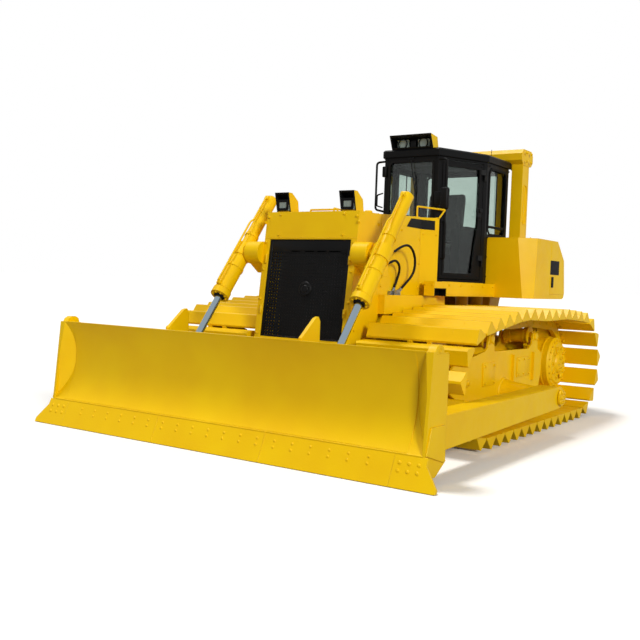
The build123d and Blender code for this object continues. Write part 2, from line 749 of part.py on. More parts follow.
with BuildPart() as radiator_core:
    with BuildSketch(Plane.XZ.offset(-CORE_Y[1])):
        with Locations((0, (GUARD_BOTTOM + GUARD_TOP) / 2)):
            Rectangle(2 * (HOOD_HALF - GUARD_WALL), guard_height - 2 * GUARD_WALL)
    extrude(amount=CORE_Y[1] - CORE_Y[0])
    with BuildSketch(Plane.XZ.offset(-CORE_Y[0])):
        with Locations((0, FAN_Z)):
            Circle(FAN_R * 0.24)
    extrude(amount=CORE_Y[0] - FAN_Y - FAN_HALF - RUN)
    with BuildSketch(Plane.XZ.offset(-CORE_Y[0])):
        with Locations((0, FAN_Z)):
            Circle(FAN_SHAFT_R)
    extrude(amount=CORE_Y[0] - FAN_Y + FAN_HALF * 0.5)
keep(radiator_core, "radiator_core")

with BuildPart() as fan:
    with BuildSketch(Plane.XZ.offset(-FAN_Y - FAN_HALF)):
        with Locations((0, FAN_Z)):
            Circle(FAN_R * 0.27)
    extrude(amount=2 * FAN_HALF)
    with BuildSketch(Plane.XZ.offset(-FAN_Y - FAN_HALF)):
        with Locations((0, FAN_Z)):
            Circle(FAN_SHAFT_R + PIN_FIT)
    extrude(amount=FAN_HALF * 1.6, mode=Mode.SUBTRACT)
    for i in range(FAN_BLADES):
        a = radians(i * 360.0 / FAN_BLADES)
        blade_plane = Plane(origin=(0, FAN_Y, FAN_Z), x_dir=(cos(a + pi / 2), 0, sin(a + pi / 2)),
                            z_dir=(cos(a), 0, sin(a)))
        with BuildSketch(blade_plane.offset(FAN_R * 0.22)):
            Rectangle(86, 7, rotation=32)
        with BuildSketch(blade_plane.offset(FAN_R)):
            Rectangle(128, 6, rotation=20)
        loft()
keep(fan, "fan")


# =======================================================================================
# Lift cylinder yokes on the guard's sides
# =======================================================================================

with BuildPart() as lift_yoke_l:
    with BuildSketch(side_plane(HOOD_HALF)):
        with Locations((CYL_TOP_Y, CYL_TOP_Z)):
            Circle(YOKE_R)
        Polygon(
            (CYL_TOP_Y, CYL_TOP_Z - YOKE_R),
            (CYL_TOP_Y + 120, CYL_TOP_Z - 190),
            (CYL_TOP_Y + 300, CYL_TOP_Z - 190),
            (CYL_TOP_Y + 300, CYL_TOP_Z + 70),
            (CYL_TOP_Y, CYL_TOP_Z + YOKE_R),
            align=None,
        )
    extrude(amount=YOKE_END_X - HOOD_HALF)
    with BuildSketch(side_plane(CYL_PIN_END_X - 5)):
        with Locations((CYL_TOP_Y, CYL_TOP_Z)):
            Circle(CYL_PIN_R + PIN_FIT)
    extrude(amount=YOKE_END_X, mode=Mode.SUBTRACT)
keep_pair(lift_yoke_l, "lift_yokes")


def hose_arcs(corners):
    """Radius of the arc at each corner between two straight runs, and each arc's turn."""
    arcs = []
    for before, here, after in zip(corners, corners[1:], corners[2:]):
        run_in, run_out = Vector(*here) - Vector(*before), Vector(*after) - Vector(*here)
        turn = run_in.get_angle(run_out)
        shorter = min(run_in.length, run_out.length)
        arcs.append((HOSE_ARC * shorter / tan(radians(turn / 2)), turn))
    return arcs


for name, corners in HOSES.items():
    arcs = hose_arcs(corners)
    with BuildPart() as hose:
        with BuildLine():
            route = FilletPolyline(*corners, radius=[radius for radius, turn in arcs])
        with BuildSketch(Plane(origin=route @ 0, z_dir=route % 0)):
            Circle(HOSE_R)
        sweep()
    print(f"hose_{name}: length {route.length:.1f}, volume over section x length "
          f"{hose.part.volume / (pi * HOSE_R**2 * route.length):.4f}, arcs",
          ", ".join(f"R{radius:.0f} {turn:.0f} deg" for radius, turn in arcs))
    keep(hose, f"hose_{name}_l")
    other_side(hose, f"hose_{name}_r")

with BuildPart() as hose_fittings_l:
    for corners in HOSES.values():
        x, y, z = corners[0]
        with BuildSketch(Plane.XZ.offset(-y)):
            with Locations((x, z)):
                RegularPolygon(GLAND_R, 6)
        extrude(amount=GLAND_LEN)
        # block on the rail, its slanted face square to the hose's end
        x, y, z = corners[-1]
        run_y, run_z = corners[-1][1] - corners[-2][1], corners[-1][2] - corners[-2][2]
        face_y = run_z / hypot(run_y, run_z) * GLAND_R
        face_z = -run_y / hypot(run_y, run_z) * GLAND_R
        with BuildSketch(side_plane(x - GLAND_R + 2)):
            Polygon(
                (y - face_y, z - face_z),
                (y + face_y, z + face_z),
                (y - 4 * GLAND_R, z + face_z - 6),
                (y - 4 * GLAND_R, RAIL_Z[1]),
                (y - face_y, RAIL_Z[1]),
                align=None,
            )
        extrude(amount=2 * GLAND_R - 4)
keep_pair(hose_fittings_l, "hose_fittings")


# =======================================================================================
# Hood, side covers, cowl
# =======================================================================================


def hood_z(y, drop=0.0):
    """Height of the hood's top at y, or of a line so far below it."""
    along = (y - GUARD_REAR_Y) / (HOOD_REAR_Y - GUARD_REAR_Y)
    return GUARD_TOP + HOOD_RISE * along - drop


with BuildPart() as hood:
    with BuildSketch(side_plane(-HOOD_HALF)):
        Polygon(
            (GUARD_REAR_Y, hood_z(GUARD_REAR_Y, HOOD_LIP)),
            (COWL_Y, hood_z(COWL_Y, HOOD_LIP)),
            (COWL_Y, hood_z(COWL_Y)),
            (GUARD_REAR_Y, hood_z(GUARD_REAR_Y)),
            align=None,
        )
    extrude(amount=2 * HOOD_HALF)
    with BuildSketch(side_plane(-HOOD_HALF + HOOD_SKIN)):
        Polygon(
            (GUARD_REAR_Y - 5, hood_z(GUARD_REAR_Y - 5, HOOD_LIP + 5)),
            (COWL_Y + 5, hood_z(COWL_Y + 5, HOOD_LIP + 5)),
            (COWL_Y + 5, hood_z(COWL_Y + 5, HOOD_SKIN)),
            (GUARD_REAR_Y - 5, hood_z(GUARD_REAR_Y - 5, HOOD_SKIN)),
            align=None,
        )
    extrude(amount=2 * (HOOD_HALF - HOOD_SKIN), mode=Mode.SUBTRACT)
keep(hood, "hood")

with BuildPart() as hood_side_l:
    with BuildSketch(side_plane(HOOD_HALF - HOOD_SKIN)):
        Polygon(
            (GUARD_REAR_Y, RAIL_Z[1]),
            (COWL_Y, RAIL_Z[1]),
            (COWL_Y, hood_z(COWL_Y, HOOD_LIP)),
            (GUARD_REAR_Y, hood_z(GUARD_REAR_Y, HOOD_LIP)),
            align=None,
        )
    extrude(amount=HOOD_SKIN)
keep_pair(hood_side_l, "hood_sides")

with BuildPart() as cowl:
    with BuildSketch(Plane.XY.offset(RAIL_Z[1])):
        Polygon(
            (-HOOD_HALF, COWL_Y),
            (HOOD_HALF, COWL_Y),
            (COWL_HALF, COWL_BEND_Y),
            (COWL_HALF, HOOD_REAR_Y),
            (-COWL_HALF, HOOD_REAR_Y),
            (-COWL_HALF, COWL_BEND_Y),
            align=None,
        )
    extrude(amount=GUARD_TOP + HOOD_RISE - RAIL_Z[1])
    with BuildSketch(Plane.XY.offset(RAIL_Z[1] - 5)):
        Polygon(
            (-HOOD_HALF + HOOD_SKIN, COWL_Y - 5),
            (HOOD_HALF - HOOD_SKIN, COWL_Y - 5),
            (COWL_HALF - HOOD_SKIN, COWL_BEND_Y),
            (COWL_HALF - HOOD_SKIN, HOOD_REAR_Y - HOOD_SKIN),
            (-COWL_HALF + HOOD_SKIN, HOOD_REAR_Y - HOOD_SKIN),
            (-COWL_HALF + HOOD_SKIN, COWL_BEND_Y),
            align=None,
        )
    extrude(amount=hood_z(COWL_Y, HOOD_SKIN) - RAIL_Z[1] + 5, mode=Mode.SUBTRACT)
    with BuildSketch(side_plane(-COWL_HALF)):
        Polygon(
            (COWL_Y, RAIL_Z[1]),
            (HOOD_REAR_Y, RAIL_Z[1]),
            (HOOD_REAR_Y, hood_z(HOOD_REAR_Y)),
            (COWL_Y, hood_z(COWL_Y)),
            align=None,
        )
    extrude(amount=2 * COWL_HALF, mode=Mode.INTERSECT)
    # grab handle along the top, one each side
    handle_z = hood_z(HOOD_REAR_Y)
    for side in (-1, 1):
        with BuildLine():
            FilletPolyline(
                (side * (HOOD_HALF - 30), COWL_Y + 30, handle_z - 30),
                (side * (HOOD_HALF - 30), COWL_Y + 30, handle_z + 85),
                (side * (HOOD_HALF - 10), HOOD_REAR_Y - 40, handle_z + 92),
                (side * (COWL_HALF + 20), HOOD_REAR_Y - 20, handle_z - 30),
                (side * (COWL_HALF + 20), HOOD_REAR_Y - 20, handle_z - 170),
                (side * (COWL_HALF - 10), HOOD_REAR_Y - 20, handle_z - 170),
                radius=28,
            )
        with BuildSketch(Plane.XY.offset(handle_z - 30)):
            with Locations((side * (HOOD_HALF - 30), COWL_Y + 30)):
                Circle(GRAB_R)
        sweep()
keep(cowl, "cowl")

with BuildPart() as lamp_boxes:
    for side in (-1, 1):
        with BuildSketch(side_plane(side * (LAMP_X[0] + LAMP_X[1]) / 2 - 115)):
            Polygon(
                (LAMP_Y[0] + 45, GUARD_TOP),
                (LAMP_Y[1], GUARD_TOP),
                (LAMP_Y[1] - 20, LAMP_TOP - 70),
                (LAMP_Y[0] + 60, LAMP_TOP),
                (LAMP_Y[0], LAMP_TOP),
                align=None,
            )
        extrude(amount=LAMP_X[1] - LAMP_X[0])
        with BuildSketch(side_plane(side * (LAMP_X[0] + LAMP_X[1]) / 2 - 115 + 14)):
            Polygon(
                (LAMP_Y[0] - 10, GUARD_TOP + LAMP_FLOOR),
                (LAMP_Y[0] + 130, GUARD_TOP + LAMP_FLOOR),
                (LAMP_Y[0] + 90, LAMP_TOP - 30),
                (LAMP_Y[0] - 10, LAMP_TOP - 16),
                align=None,
            )
        extrude(amount=LAMP_X[1] - LAMP_X[0] - 28, mode=Mode.SUBTRACT)
keep(lamp_boxes, "lamp_boxes")


# =======================================================================================
# Platform, side boxes, tank, roll-over frame
# =======================================================================================
with BuildPart() as platform:
    with BuildSketch(Plane.XY.offset(PLATFORM_Z[0])):
        Polygon(
            (PLATFORM_HALF, PLATFORM_FRONT_Y),
            (PLATFORM_HALF, BOX_FRONT_Y),
            (CAB_HALF, BOX_FRONT_Y),
            (CAB_HALF, TANK_FRONT_Y),
            (-CAB_HALF, TANK_FRONT_Y),
            (-CAB_HALF, BOX_FRONT_Y),
            (-PLATFORM_HALF, BOX_FRONT_Y),
            (-PLATFORM_HALF, PLATFORM_FRONT_Y),
            (-COWL_HALF - 4, PLATFORM_FRONT_Y),
            (-COWL_HALF - 4, HOOD_REAR_Y),
            (COWL_HALF + 4, HOOD_REAR_Y),
            (COWL_HALF + 4, PLATFORM_FRONT_Y),
            align=None,
        )
    extrude(amount=PLATFORM_Z[1] - PLATFORM_Z[0])
    # step recess below the front of each deck
    for side in (-1, 1):
        with BuildSketch(Plane.XY.offset(PLATFORM_Z[0])):
            with Locations((side * (COWL_HALF + PLATFORM_HALF) / 2, (PLATFORM_FRONT_Y + STEP_REAR_Y) / 2)):
                Rectangle(PLATFORM_HALF - COWL_HALF + 10, STEP_REAR_Y - PLATFORM_FRONT_Y + 10)
        extrude(amount=STEP_TOP - PLATFORM_Z[0], mode=Mode.SUBTRACT)
keep(platform, "platform")

with BuildPart() as side_box_l:
    for z, inset, back in BOX_CORNERS:
        with BuildSketch(Plane.XY.offset(z)):
            Polygon(
                (CAB_HALF, BOX_FRONT_Y),
                (BODY_HALF - inset, BOX_FRONT_Y),
                (BODY_HALF, BOX_FRONT_Y + back),
                (BODY_HALF, TANK_FRONT_Y),
                (CAB_HALF, TANK_FRONT_Y),
                align=None,
            )
    loft(ruled=True)
keep_pair(side_box_l, "side_boxes")

with BuildPart() as fuel_tank:
    with BuildSketch(side_plane(-BODY_HALF)):
        Polygon(
            (TANK_FRONT_Y, TANK_BOTTOM),
            (TANK_REAR_Y - 70, TANK_BOTTOM),
            (TANK_REAR_Y - 20, TANK_BOTTOM + 22),
            (TANK_REAR_Y, TANK_BOTTOM + 70),
            (TANK_REAR_Y - 56, TANK_TOP - 217),
            (TANK_SHELF_Y, TANK_TOP),
            (TANK_FRONT_Y, TANK_TOP),
            align=None,
        )
    extrude(amount=2 * BODY_HALF)
keep(fuel_tank, "fuel_tank")

with BuildPart() as rops:
    for side in (-1, 1):
        with BuildSketch(Plane.XY.offset(TANK_TOP)):
            with Locations((side * (ROPS_POST_X[0] + ROPS_POST_X[1]) / 2,
                            (ROPS_POST_Y[0] + ROPS_POST_Y[1]) / 2)):
                Rectangle(ROPS_POST_X[1] - ROPS_POST_X[0], ROPS_POST_Y[1] - ROPS_POST_Y[0])
        extrude(amount=ROPS_TOP - ROPS_BEAM_DEPTH - TANK_TOP + 10)
        with BuildSketch(Plane.XY.offset(TANK_TOP)):
            with Locations((side * (ROPS_POST_X[0] + ROPS_POST_X[1]) / 2,
                            (TANK_FRONT_Y + TANK_SHELF_Y) / 2)):
                Rectangle(ROPS_POST_X[1] - ROPS_POST_X[0] + 60, TANK_SHELF_Y - TANK_FRONT_Y)
        extrude(amount=28)
    with BuildSketch(side_plane(-ROPS_POST_X[1])):
        with Locations(((ROPS_BEAM_Y[0] + ROPS_BEAM_Y[1]) / 2, ROPS_TOP - ROPS_BEAM_DEPTH / 2)):
            beam = Rectangle(ROPS_BEAM_Y[1] - ROPS_BEAM_Y[0], ROPS_BEAM_DEPTH)
            chamfer(beam.vertices(), 52)
    extrude(amount=2 * ROPS_POST_X[1])
    for side in (-1, 1):
        # gusset under the beam, and the long groove down the outer face of the post
        with BuildSketch(Plane.XZ.offset(-ROPS_POST_Y[0] - 60)):
            Polygon(
                (side * (ROPS_POST_X[0] + 5), ROPS_TOP - ROPS_BEAM_DEPTH + 5),
                (side * (ROPS_POST_X[0] - 90), ROPS_TOP - ROPS_BEAM_DEPTH + 5),
                (side * (ROPS_POST_X[0] + 5), ROPS_TOP - ROPS_BEAM_DEPTH - 90),
                align=None,
            )
        extrude(amount=-70)
        with BuildSketch(side_plane(side * ROPS_POST_X[1] - 7)):
            with Locations(((ROPS_POST_Y[0] + ROPS_POST_Y[1]) / 2, sum(ROPS_GROOVE_Z) / 2)):
                SlotOverall(ROPS_GROOVE_Z[1] - ROPS_GROOVE_Z[0], 44, rotation=90)
        extrude(amount=14, mode=Mode.SUBTRACT)
keep(rops, "rops")


# =======================================================================================
# Cab with doors and glass
# =======================================================================================

slant = hypot(CAB_HALF - CAB_FRONT_HALF, CAB_BEND_Y - CAB_FRONT_Y)
slant_x = (CAB_HALF - CAB_FRONT_HALF) / slant
slant_y = (CAB_BEND_Y - CAB_FRONT_Y) / slant
# plane of the left door wall: local x runs from the front corner to the bend, local y up
DOOR_WALL = Plane(origin=(CAB_FRONT_HALF, CAB_FRONT_Y, 0), x_dir=(slant_x, slant_y, 0),
                  z_dir=(slant_y, -slant_x, 0))
CAB_PLAN = [
    (-CAB_FRONT_HALF, CAB_FRONT_Y),
    (CAB_FRONT_HALF, CAB_FRONT_Y),
    (CAB_HALF, CAB_BEND_Y),
    (CAB_HALF, CAB_REAR_Y),
    (-CAB_HALF, CAB_REAR_Y),
    (-CAB_HALF, CAB_BEND_Y),
]
door_x = (FRONT_POST, slant - REAR_POST)
door_mid = (door_x[0] + door_x[1]) / 2
door_mid_z = (DOOR_Z[0] + DOOR_Z[1]) / 2
leaf_x = (door_x[0] + DOOR_GAP, door_x[1] - DOOR_GAP)
leaf_z = (DOOR_Z[0] + DOOR_GAP, DOOR_Z[1] - DOOR_GAP)
hinge_x = door_x[1] + DOOR_GAP / 2
door_pane = [
    (leaf_x[0] + DOOR_RIM, leaf_z[0] + DOOR_RIM),
    (leaf_x[1] - DOOR_RIM - DOOR_SLANT[0], leaf_z[0] + DOOR_RIM),
    (leaf_x[1] - DOOR_RIM, DOOR_SLANT[1]),
    (leaf_x[1] - DOOR_RIM, leaf_z[1] - DOOR_RIM),
    (leaf_x[0] + DOOR_RIM, leaf_z[1] - DOOR_RIM),
]


def door_spot(along, out):
    """Plan position beside the left door wall: along from the front corner, and out from it."""
    return (CAB_FRONT_HALF + along * slant_x + out * slant_y,
            CAB_FRONT_Y + along * slant_y - out * slant_x)


def window(y_or_x, half, z_range):
    """Rectangle of a window on the plane in use: its middle, half width and heights."""
    with Locations((y_or_x, (z_range[0] + z_range[1]) / 2)):
        Rectangle(2 * half, z_range[1] - z_range[0])


side_window_mid = (CAB_BEND_Y + CAB_REAR_Y) / 2
side_window_half = (CAB_REAR_Y - CAB_BEND_Y) / 2 - 70.0
screen_half = CAB_FRONT_HALF - 62.0

with BuildPart() as cab_frame:
    with BuildSketch(Plane.XY.offset(CAB_BASE)):
        Polygon(*CAB_PLAN, align=None)
        offset(amount=-CAB_WALL, kind=Kind.INTERSECTION, mode=Mode.SUBTRACT)
    extrude(amount=CAB_EAVES - CAB_BASE)
    with BuildSketch(Plane.XZ.offset(-CAB_FRONT_Y - CAB_WALL - 5)):
        window(0, screen_half, SCREEN_Z)
    extrude(amount=CAB_WALL + 10, mode=Mode.SUBTRACT)
    with BuildSketch(Plane.XZ.offset(-CAB_REAR_Y - 5)):
        window(0, REAR_WINDOW_HALF, REAR_WINDOW_Z)
    extrude(amount=CAB_WALL + 10, mode=Mode.SUBTRACT)
    with BuildSketch(side_plane(-CAB_HALF - 5)):
        window(side_window_mid, side_window_half, SIDE_WINDOW_Z)
    extrude(amount=2 * CAB_HALF + 10, mode=Mode.SUBTRACT)
    with BuildSketch(DOOR_WALL.offset(-CAB_WALL - 5)):
        with Locations((door_mid, door_mid_z)):
            Rectangle(door_x[1] - door_x[0], DOOR_Z[1] - DOOR_Z[0])
    door_hole = extrude(amount=CAB_WALL + 10, mode=Mode.SUBTRACT)
    mirror(door_hole, about=Plane.YZ, mode=Mode.SUBTRACT)
    # hinge knuckles on the rear door posts, each with its pin standing up
    for z in HINGE_ZS:
        with BuildSketch(Plane.XY.offset(z)):
            with Locations(door_spot(hinge_x, HINGE_OUT)):
                Circle(HINGE_R)
            Polygon(
                door_spot(hinge_x, -5),
                door_spot(hinge_x + 28, -5),
                door_spot(hinge_x + 28, HINGE_OUT - 6),
                door_spot(hinge_x, HINGE_OUT + HINGE_R),
                align=None,
            )
        knuckle = extrude(amount=HINGE_LEN)
        with BuildSketch(Plane.XY.offset(z + HINGE_LEN)):
            with Locations(door_spot(hinge_x, HINGE_OUT)):
                Circle(HINGE_PIN_R)
        pin = extrude(amount=HINGE_LEN * 0.8)
        mirror(knuckle, about=Plane.YZ)
        mirror(pin, about=Plane.YZ)
    # grab loops on the front corners
    for side in (-1, 1):
        with BuildLine():
            loop = FilletPolyline(
                (side * (CAB_FRONT_HALF - 12), CAB_FRONT_Y + 20, LOOP_Z[1]),
                (side * (CAB_FRONT_HALF + LOOP_OUT), CAB_FRONT_Y - 2, LOOP_Z[1] - 10),
                (side * (CAB_FRONT_HALF + LOOP_OUT), CAB_FRONT_Y - 2, LOOP_Z[0] + 25),
                (side * (CAB_FRONT_HALF - 12), CAB_FRONT_Y + 20, LOOP_Z[0]),
                radius=36,
            )
        with BuildSketch(Plane(origin=loop @ 0, z_dir=loop % 0)):
            Circle(GRAB_R)
        sweep()
keep(cab_frame, "cab_frame")

with BuildPart() as door_l:
    with BuildSketch(DOOR_WALL.offset(-CAB_WALL)):
        with Locations((door_mid, door_mid_z)):
            Rectangle(leaf_x[1] - leaf_x[0], leaf_z[1] - leaf_z[0])
        Polygon(*door_pane, align=None, mode=Mode.SUBTRACT)
    extrude(amount=CAB_WALL)
    for z in HINGE_ZS:
        with BuildSketch(Plane.XY.offset(z + HINGE_LEN + 1)):
            with Locations(door_spot(hinge_x, HINGE_OUT)):
                Circle(HINGE_R)
            Polygon(
                door_spot(leaf_x[1] - 44, -1),
                door_spot(leaf_x[1], -1),
                door_spot(leaf_x[1], HINGE_OUT - HINGE_R + 4),
                door_spot(hinge_x, HINGE_OUT - HINGE_R + 4),
                door_spot(hinge_x, HINGE_OUT + HINGE_R),
                door_spot(leaf_x[1] - 44, HINGE_OUT - 6),
                align=None,
            )
            with Locations(door_spot(hinge_x, HINGE_OUT)):
                Circle(HINGE_PIN_R + PIN_FIT, mode=Mode.SUBTRACT)
        extrude(amount=HINGE_LEN)
keep(door_l, "door_l")
other_side(door_l, "door_r")

with BuildPart() as door_glass_l:
    with BuildSketch(DOOR_WALL.offset(-CAB_WALL / 2 - GLASS / 2)):
        Polygon(*door_pane, align=None)
    extrude(amount=GLASS)
keep(door_glass_l, "door_glass_l")
other_side(door_glass_l, "door_glass_r")

with BuildPart() as windscreen:
    with BuildSketch(Plane.XZ.offset(-CAB_FRONT_Y - CAB_WALL / 2 - GLASS / 2)):
        window(0, screen_half, SCREEN_Z)
    extrude(amount=GLASS)
keep(windscreen, "windscreen")

with BuildPart() as rear_glass:
    with BuildSketch(Plane.XZ.offset(-CAB_REAR_Y + CAB_WALL / 2 - GLASS / 2)):
        window(0, REAR_WINDOW_HALF, REAR_WINDOW_Z)
    extrude(amount=GLASS)
keep(rear_glass, "rear_glass")

with BuildPart() as side_glass_l:
    with BuildSketch(side_plane(CAB_HALF - CAB_WALL / 2 - GLASS / 2)):
        window(side_window_mid, side_window_half, SIDE_WINDOW_Z)
    extrude(amount=GLASS)
keep_pair(side_glass_l, "side_glass")

with BuildPart() as cab_roof:
    with BuildSketch(Plane.XY.offset(CAB_EAVES)):
        Polygon(*CAB_PLAN, align=None)
        offset(amount=ROOF_LIP, kind=Kind.INTERSECTION)
    extrude(amount=CAB_ROOF_TOP - CAB_EAVES)
    chamfer(edges().group_by(Axis.Z)[-1], 18)
keep(cab_roof, "cab_roof")

with BuildPart() as roof_lamp_box:
    with BuildSketch(side_plane(-LIGHT_BAR_HALF)):
        Polygon(
            (CAB_FRONT_Y + 10, CAB_ROOF_TOP),
            (LIGHT_BAR_Y[1], CAB_ROOF_TOP),
            (LIGHT_BAR_Y[1] - 40, LIGHT_BAR_TOP - 20),
            (LIGHT_BAR_Y[0], LIGHT_BAR_TOP),
            align=None,
        )
    extrude(amount=2 * LIGHT_BAR_HALF)
    with BuildSketch(side_plane(-LIGHT_BAR_HALF + LIGHT_BAR_WALL)):
        Polygon(
            (LIGHT_BAR_Y[0] - 20, CAB_ROOF_TOP + LIGHT_BAR_WALL),
            (LIGHT_BAR_Y[1] - 46, CAB_ROOF_TOP + LIGHT_BAR_WALL),
            (LIGHT_BAR_Y[1] - 60, LIGHT_BAR_TOP - 32),
            (LIGHT_BAR_Y[0] - 20, LIGHT_BAR_TOP - 14),
            align=None,
        )
    extrude(amount=2 * (LIGHT_BAR_HALF - LIGHT_BAR_WALL), mode=Mode.SUBTRACT)
keep(roof_lamp_box, "roof_lamp_box")

with BuildPart() as lamps_l:
    with BuildSketch(Plane.XY.offset(GUARD_TOP + LAMP_FLOOR)):
        with Locations(((LAMP_X[0] + LAMP_X[1]) / 2, LAMP_Y[0] + 45)):
            Rectangle(LAMP_SIZE[0], LAMP_SIZE[1])
    extrude(amount=LAMP_SIZE[2])
    with BuildSketch(Plane.XY.offset(CAB_ROOF_TOP + LIGHT_BAR_WALL)):
        with Locations((LIGHT_BAR_HALF / 2, LIGHT_BAR_Y[0] + 105)):
            Rectangle(LAMP_SIZE[0], LAMP_SIZE[1])
    extrude(amount=LAMP_SIZE[2] - 8)
keep_pair(lamps_l, "lamps")


# =======================================================================================
# Inside the cab
# =======================================================================================


def rake_y(z):
    """Front face of the seat's back plate at height z."""
    return SEAT_Y + 190 + (z - SEAT_TOP) * SEAT_RAKE


with BuildPart() as seat_frame:
    with BuildSketch(Plane.XY.offset(CAB_BASE)):
        with Locations((0, SEAT_Y)):
            Rectangle(400, 420)
    extrude(amount=SEAT_TOP - SEAT_HEIGHT - CAB_BASE)
    with BuildSketch(side_plane(-200)):
        Polygon(
            (rake_y(SEAT_TOP - 220), SEAT_TOP - 220),
            (rake_y(SEAT_TOP - 220) + 40, SEAT_TOP - 220),
            (rake_y(SEAT_TOP + 560) + 30, SEAT_TOP + 560),
            (rake_y(SEAT_TOP + 560), SEAT_TOP + 560),
            align=None,
        )
    extrude(amount=400)
keep(seat_frame, "seat_frame")

with BuildPart() as seat_cushion:
    with BuildSketch(Plane.XY.offset(SEAT_TOP - SEAT_HEIGHT + SEAT)):
        with Locations((0, SEAT_Y - 60)):
            RectangleRounded(500, 460, 60)
    extrude(amount=SEAT_HEIGHT - SEAT)
keep(seat_cushion, "seat_cushion")

with BuildPart() as seat_back:
    with BuildSketch(side_plane(-245)):
        Polygon(
            (rake_y(SEAT_TOP + 20) - SEAT - 0.1, SEAT_TOP + 20),
            (rake_y(SEAT_TOP + 620) - SEAT - 0.1, SEAT_TOP + 620),
            (rake_y(SEAT_TOP + 620) - 100, SEAT_TOP + 620),
            (rake_y(SEAT_TOP + 20) - 120, SEAT_TOP + 20),
            align=None,
        )
    extrude(amount=490)
keep(seat_back, "seat_back")

with BuildPart() as consoles:
    for side in (-1, 1):
        with BuildSketch(Plane.XY.offset(CAB_BASE)):
            with Locations((side * CONSOLE_X, SEAT_Y)):
                Rectangle(CONSOLE_WIDTH, CONSOLE_LENGTH)
        extrude(amount=SEAT_TOP + 170 - CAB_BASE)
keep(consoles, "consoles")

with BuildPart() as dash:
    with BuildSketch(side_plane(-DASH_HALF)):
        Polygon(
            (CAB_FRONT_Y + 60, CAB_BASE),
            (CAB_FRONT_Y + 220, CAB_BASE),
            (CAB_FRONT_Y + 200, CAB_BASE + DASH_HEIGHT - 80),
            (CAB_FRONT_Y + 90, CAB_BASE + DASH_HEIGHT),
            (CAB_FRONT_Y + 60, CAB_BASE + DASH_HEIGHT - 40),
            align=None,
        )
    extrude(amount=2 * DASH_HALF)
keep(dash, "dash")


# =======================================================================================
# Blade
# =======================================================================================
SEAM = (BLADE_TIP_Y + SEAM_BACK, SEAM_Z)
DEEP = (BLADE_TIP_Y + DEEP_BACK, DEEP_Z)
TOP = (BLADE_TIP_Y + TOP_BACK, BLADE_HEIGHT)
TIP = (BLADE_TIP_Y, GROUND_GAP)
EDGE_LEN = hypot(TIP[0] - SEAM[0], TIP[1] - SEAM[1])
edge_dir = ((TIP[0] - SEAM[0]) / EDGE_LEN, (TIP[1] - SEAM[1]) / EDGE_LEN)
edge_in = (-edge_dir[1], edge_dir[0])


def arc_centre(a, b, c):
    """Centre and radius of the circle through three points."""
    ax, ay = a
    bx, by = b
    cx, cy = c
    d = 2 * (ax * (by - cy) + bx * (cy - ay) + cx * (ay - by))
    ux = ((ax**2 + ay**2) * (by - cy) + (bx**2 + by**2) * (cy - ay) + (cx**2 + cy**2) * (ay - by)) / d
    uy = ((ax**2 + ay**2) * (cx - bx) + (bx**2 + by**2) * (ax - cx) + (cx**2 + cy**2) * (bx - ax)) / d
    return (ux, uy), hypot(ax - ux, ay - uy)


bowl, bowl_r = arc_centre(SEAM, DEEP, TOP)


def bowl_point(z, extra=0.0):
    """Point of the mouldboard's face at height z, or of its back that far behind."""
    r = bowl_r + extra
    return (bowl[0] + (r**2 - (z - bowl[1]) ** 2) ** 0.5, z)


def edge_point(down, back):
    """Point on the cutting edge: so far down from the seam and so far behind its face."""
    return (SEAM[0] + edge_dir[0] * down + edge_in[0] * back,
            SEAM[1] + edge_dir[1] * down + edge_in[1] * back)


def edge_at(z, back):
    """Point at height z, so far behind the cutting edge's face."""
    start = edge_point(0, back)
    return edge_point((z - start[1]) / edge_dir[1], back)


with BuildPart() as mouldboard:
    with BuildSketch(side_plane(-BLADE_HALF + SIDE_PLATE)):
        with BuildLine():
            ThreePointArc(SEAM, DEEP, TOP)
            Polyline(
                TOP,
                (TOP[0] + PLATE + 30, BLADE_HEIGHT),
                (BLADE_BACK_Y, UPPER_BOX[1]),
                (BLADE_BACK_Y, UPPER_BOX[0]),
                bowl_point(UPPER_BOX[0] - 40, PLATE),
            )
            ThreePointArc(
                bowl_point(UPPER_BOX[0] - 40, PLATE),
                bowl_point((UPPER_BOX[0] + LOWER_BOX[1]) / 2, PLATE),
                bowl_point(LOWER_BOX[1] + 20, PLATE),
            )
            Polyline(
                bowl_point(LOWER_BOX[1] + 20, PLATE),
                (BLADE_BACK_Y, LOWER_BOX[1]),
                (BLADE_BACK_Y, LOWER_BOX[0] + 70),
                (BLADE_BACK_Y - 70, LOWER_BOX[0]),
                edge_at(LOWER_BOX[0], EDGE_THICK),
                edge_point(0, EDGE_THICK),
                SEAM,
            )
        make_face()
    extrude(amount=2 * (BLADE_HALF - SIDE_PLATE))
    # upright ribs between the two box beams
    for side in (-1, 1):
        for x in RIB_XS:
            with BuildSketch(side_plane(side * x - PLATE / 2)):
                Polygon(
                    bowl_point(LOWER_BOX[1] - 5, PLATE / 2),
                    (BLADE_BACK_Y, LOWER_BOX[1] - 5),
                    (BLADE_BACK_Y, UPPER_BOX[0] + 5),
                    bowl_point(UPPER_BOX[0] + 5, PLATE / 2),
                    align=None,
                )
            extrude(amount=PLATE)
keep(mouldboard, "mouldboard")

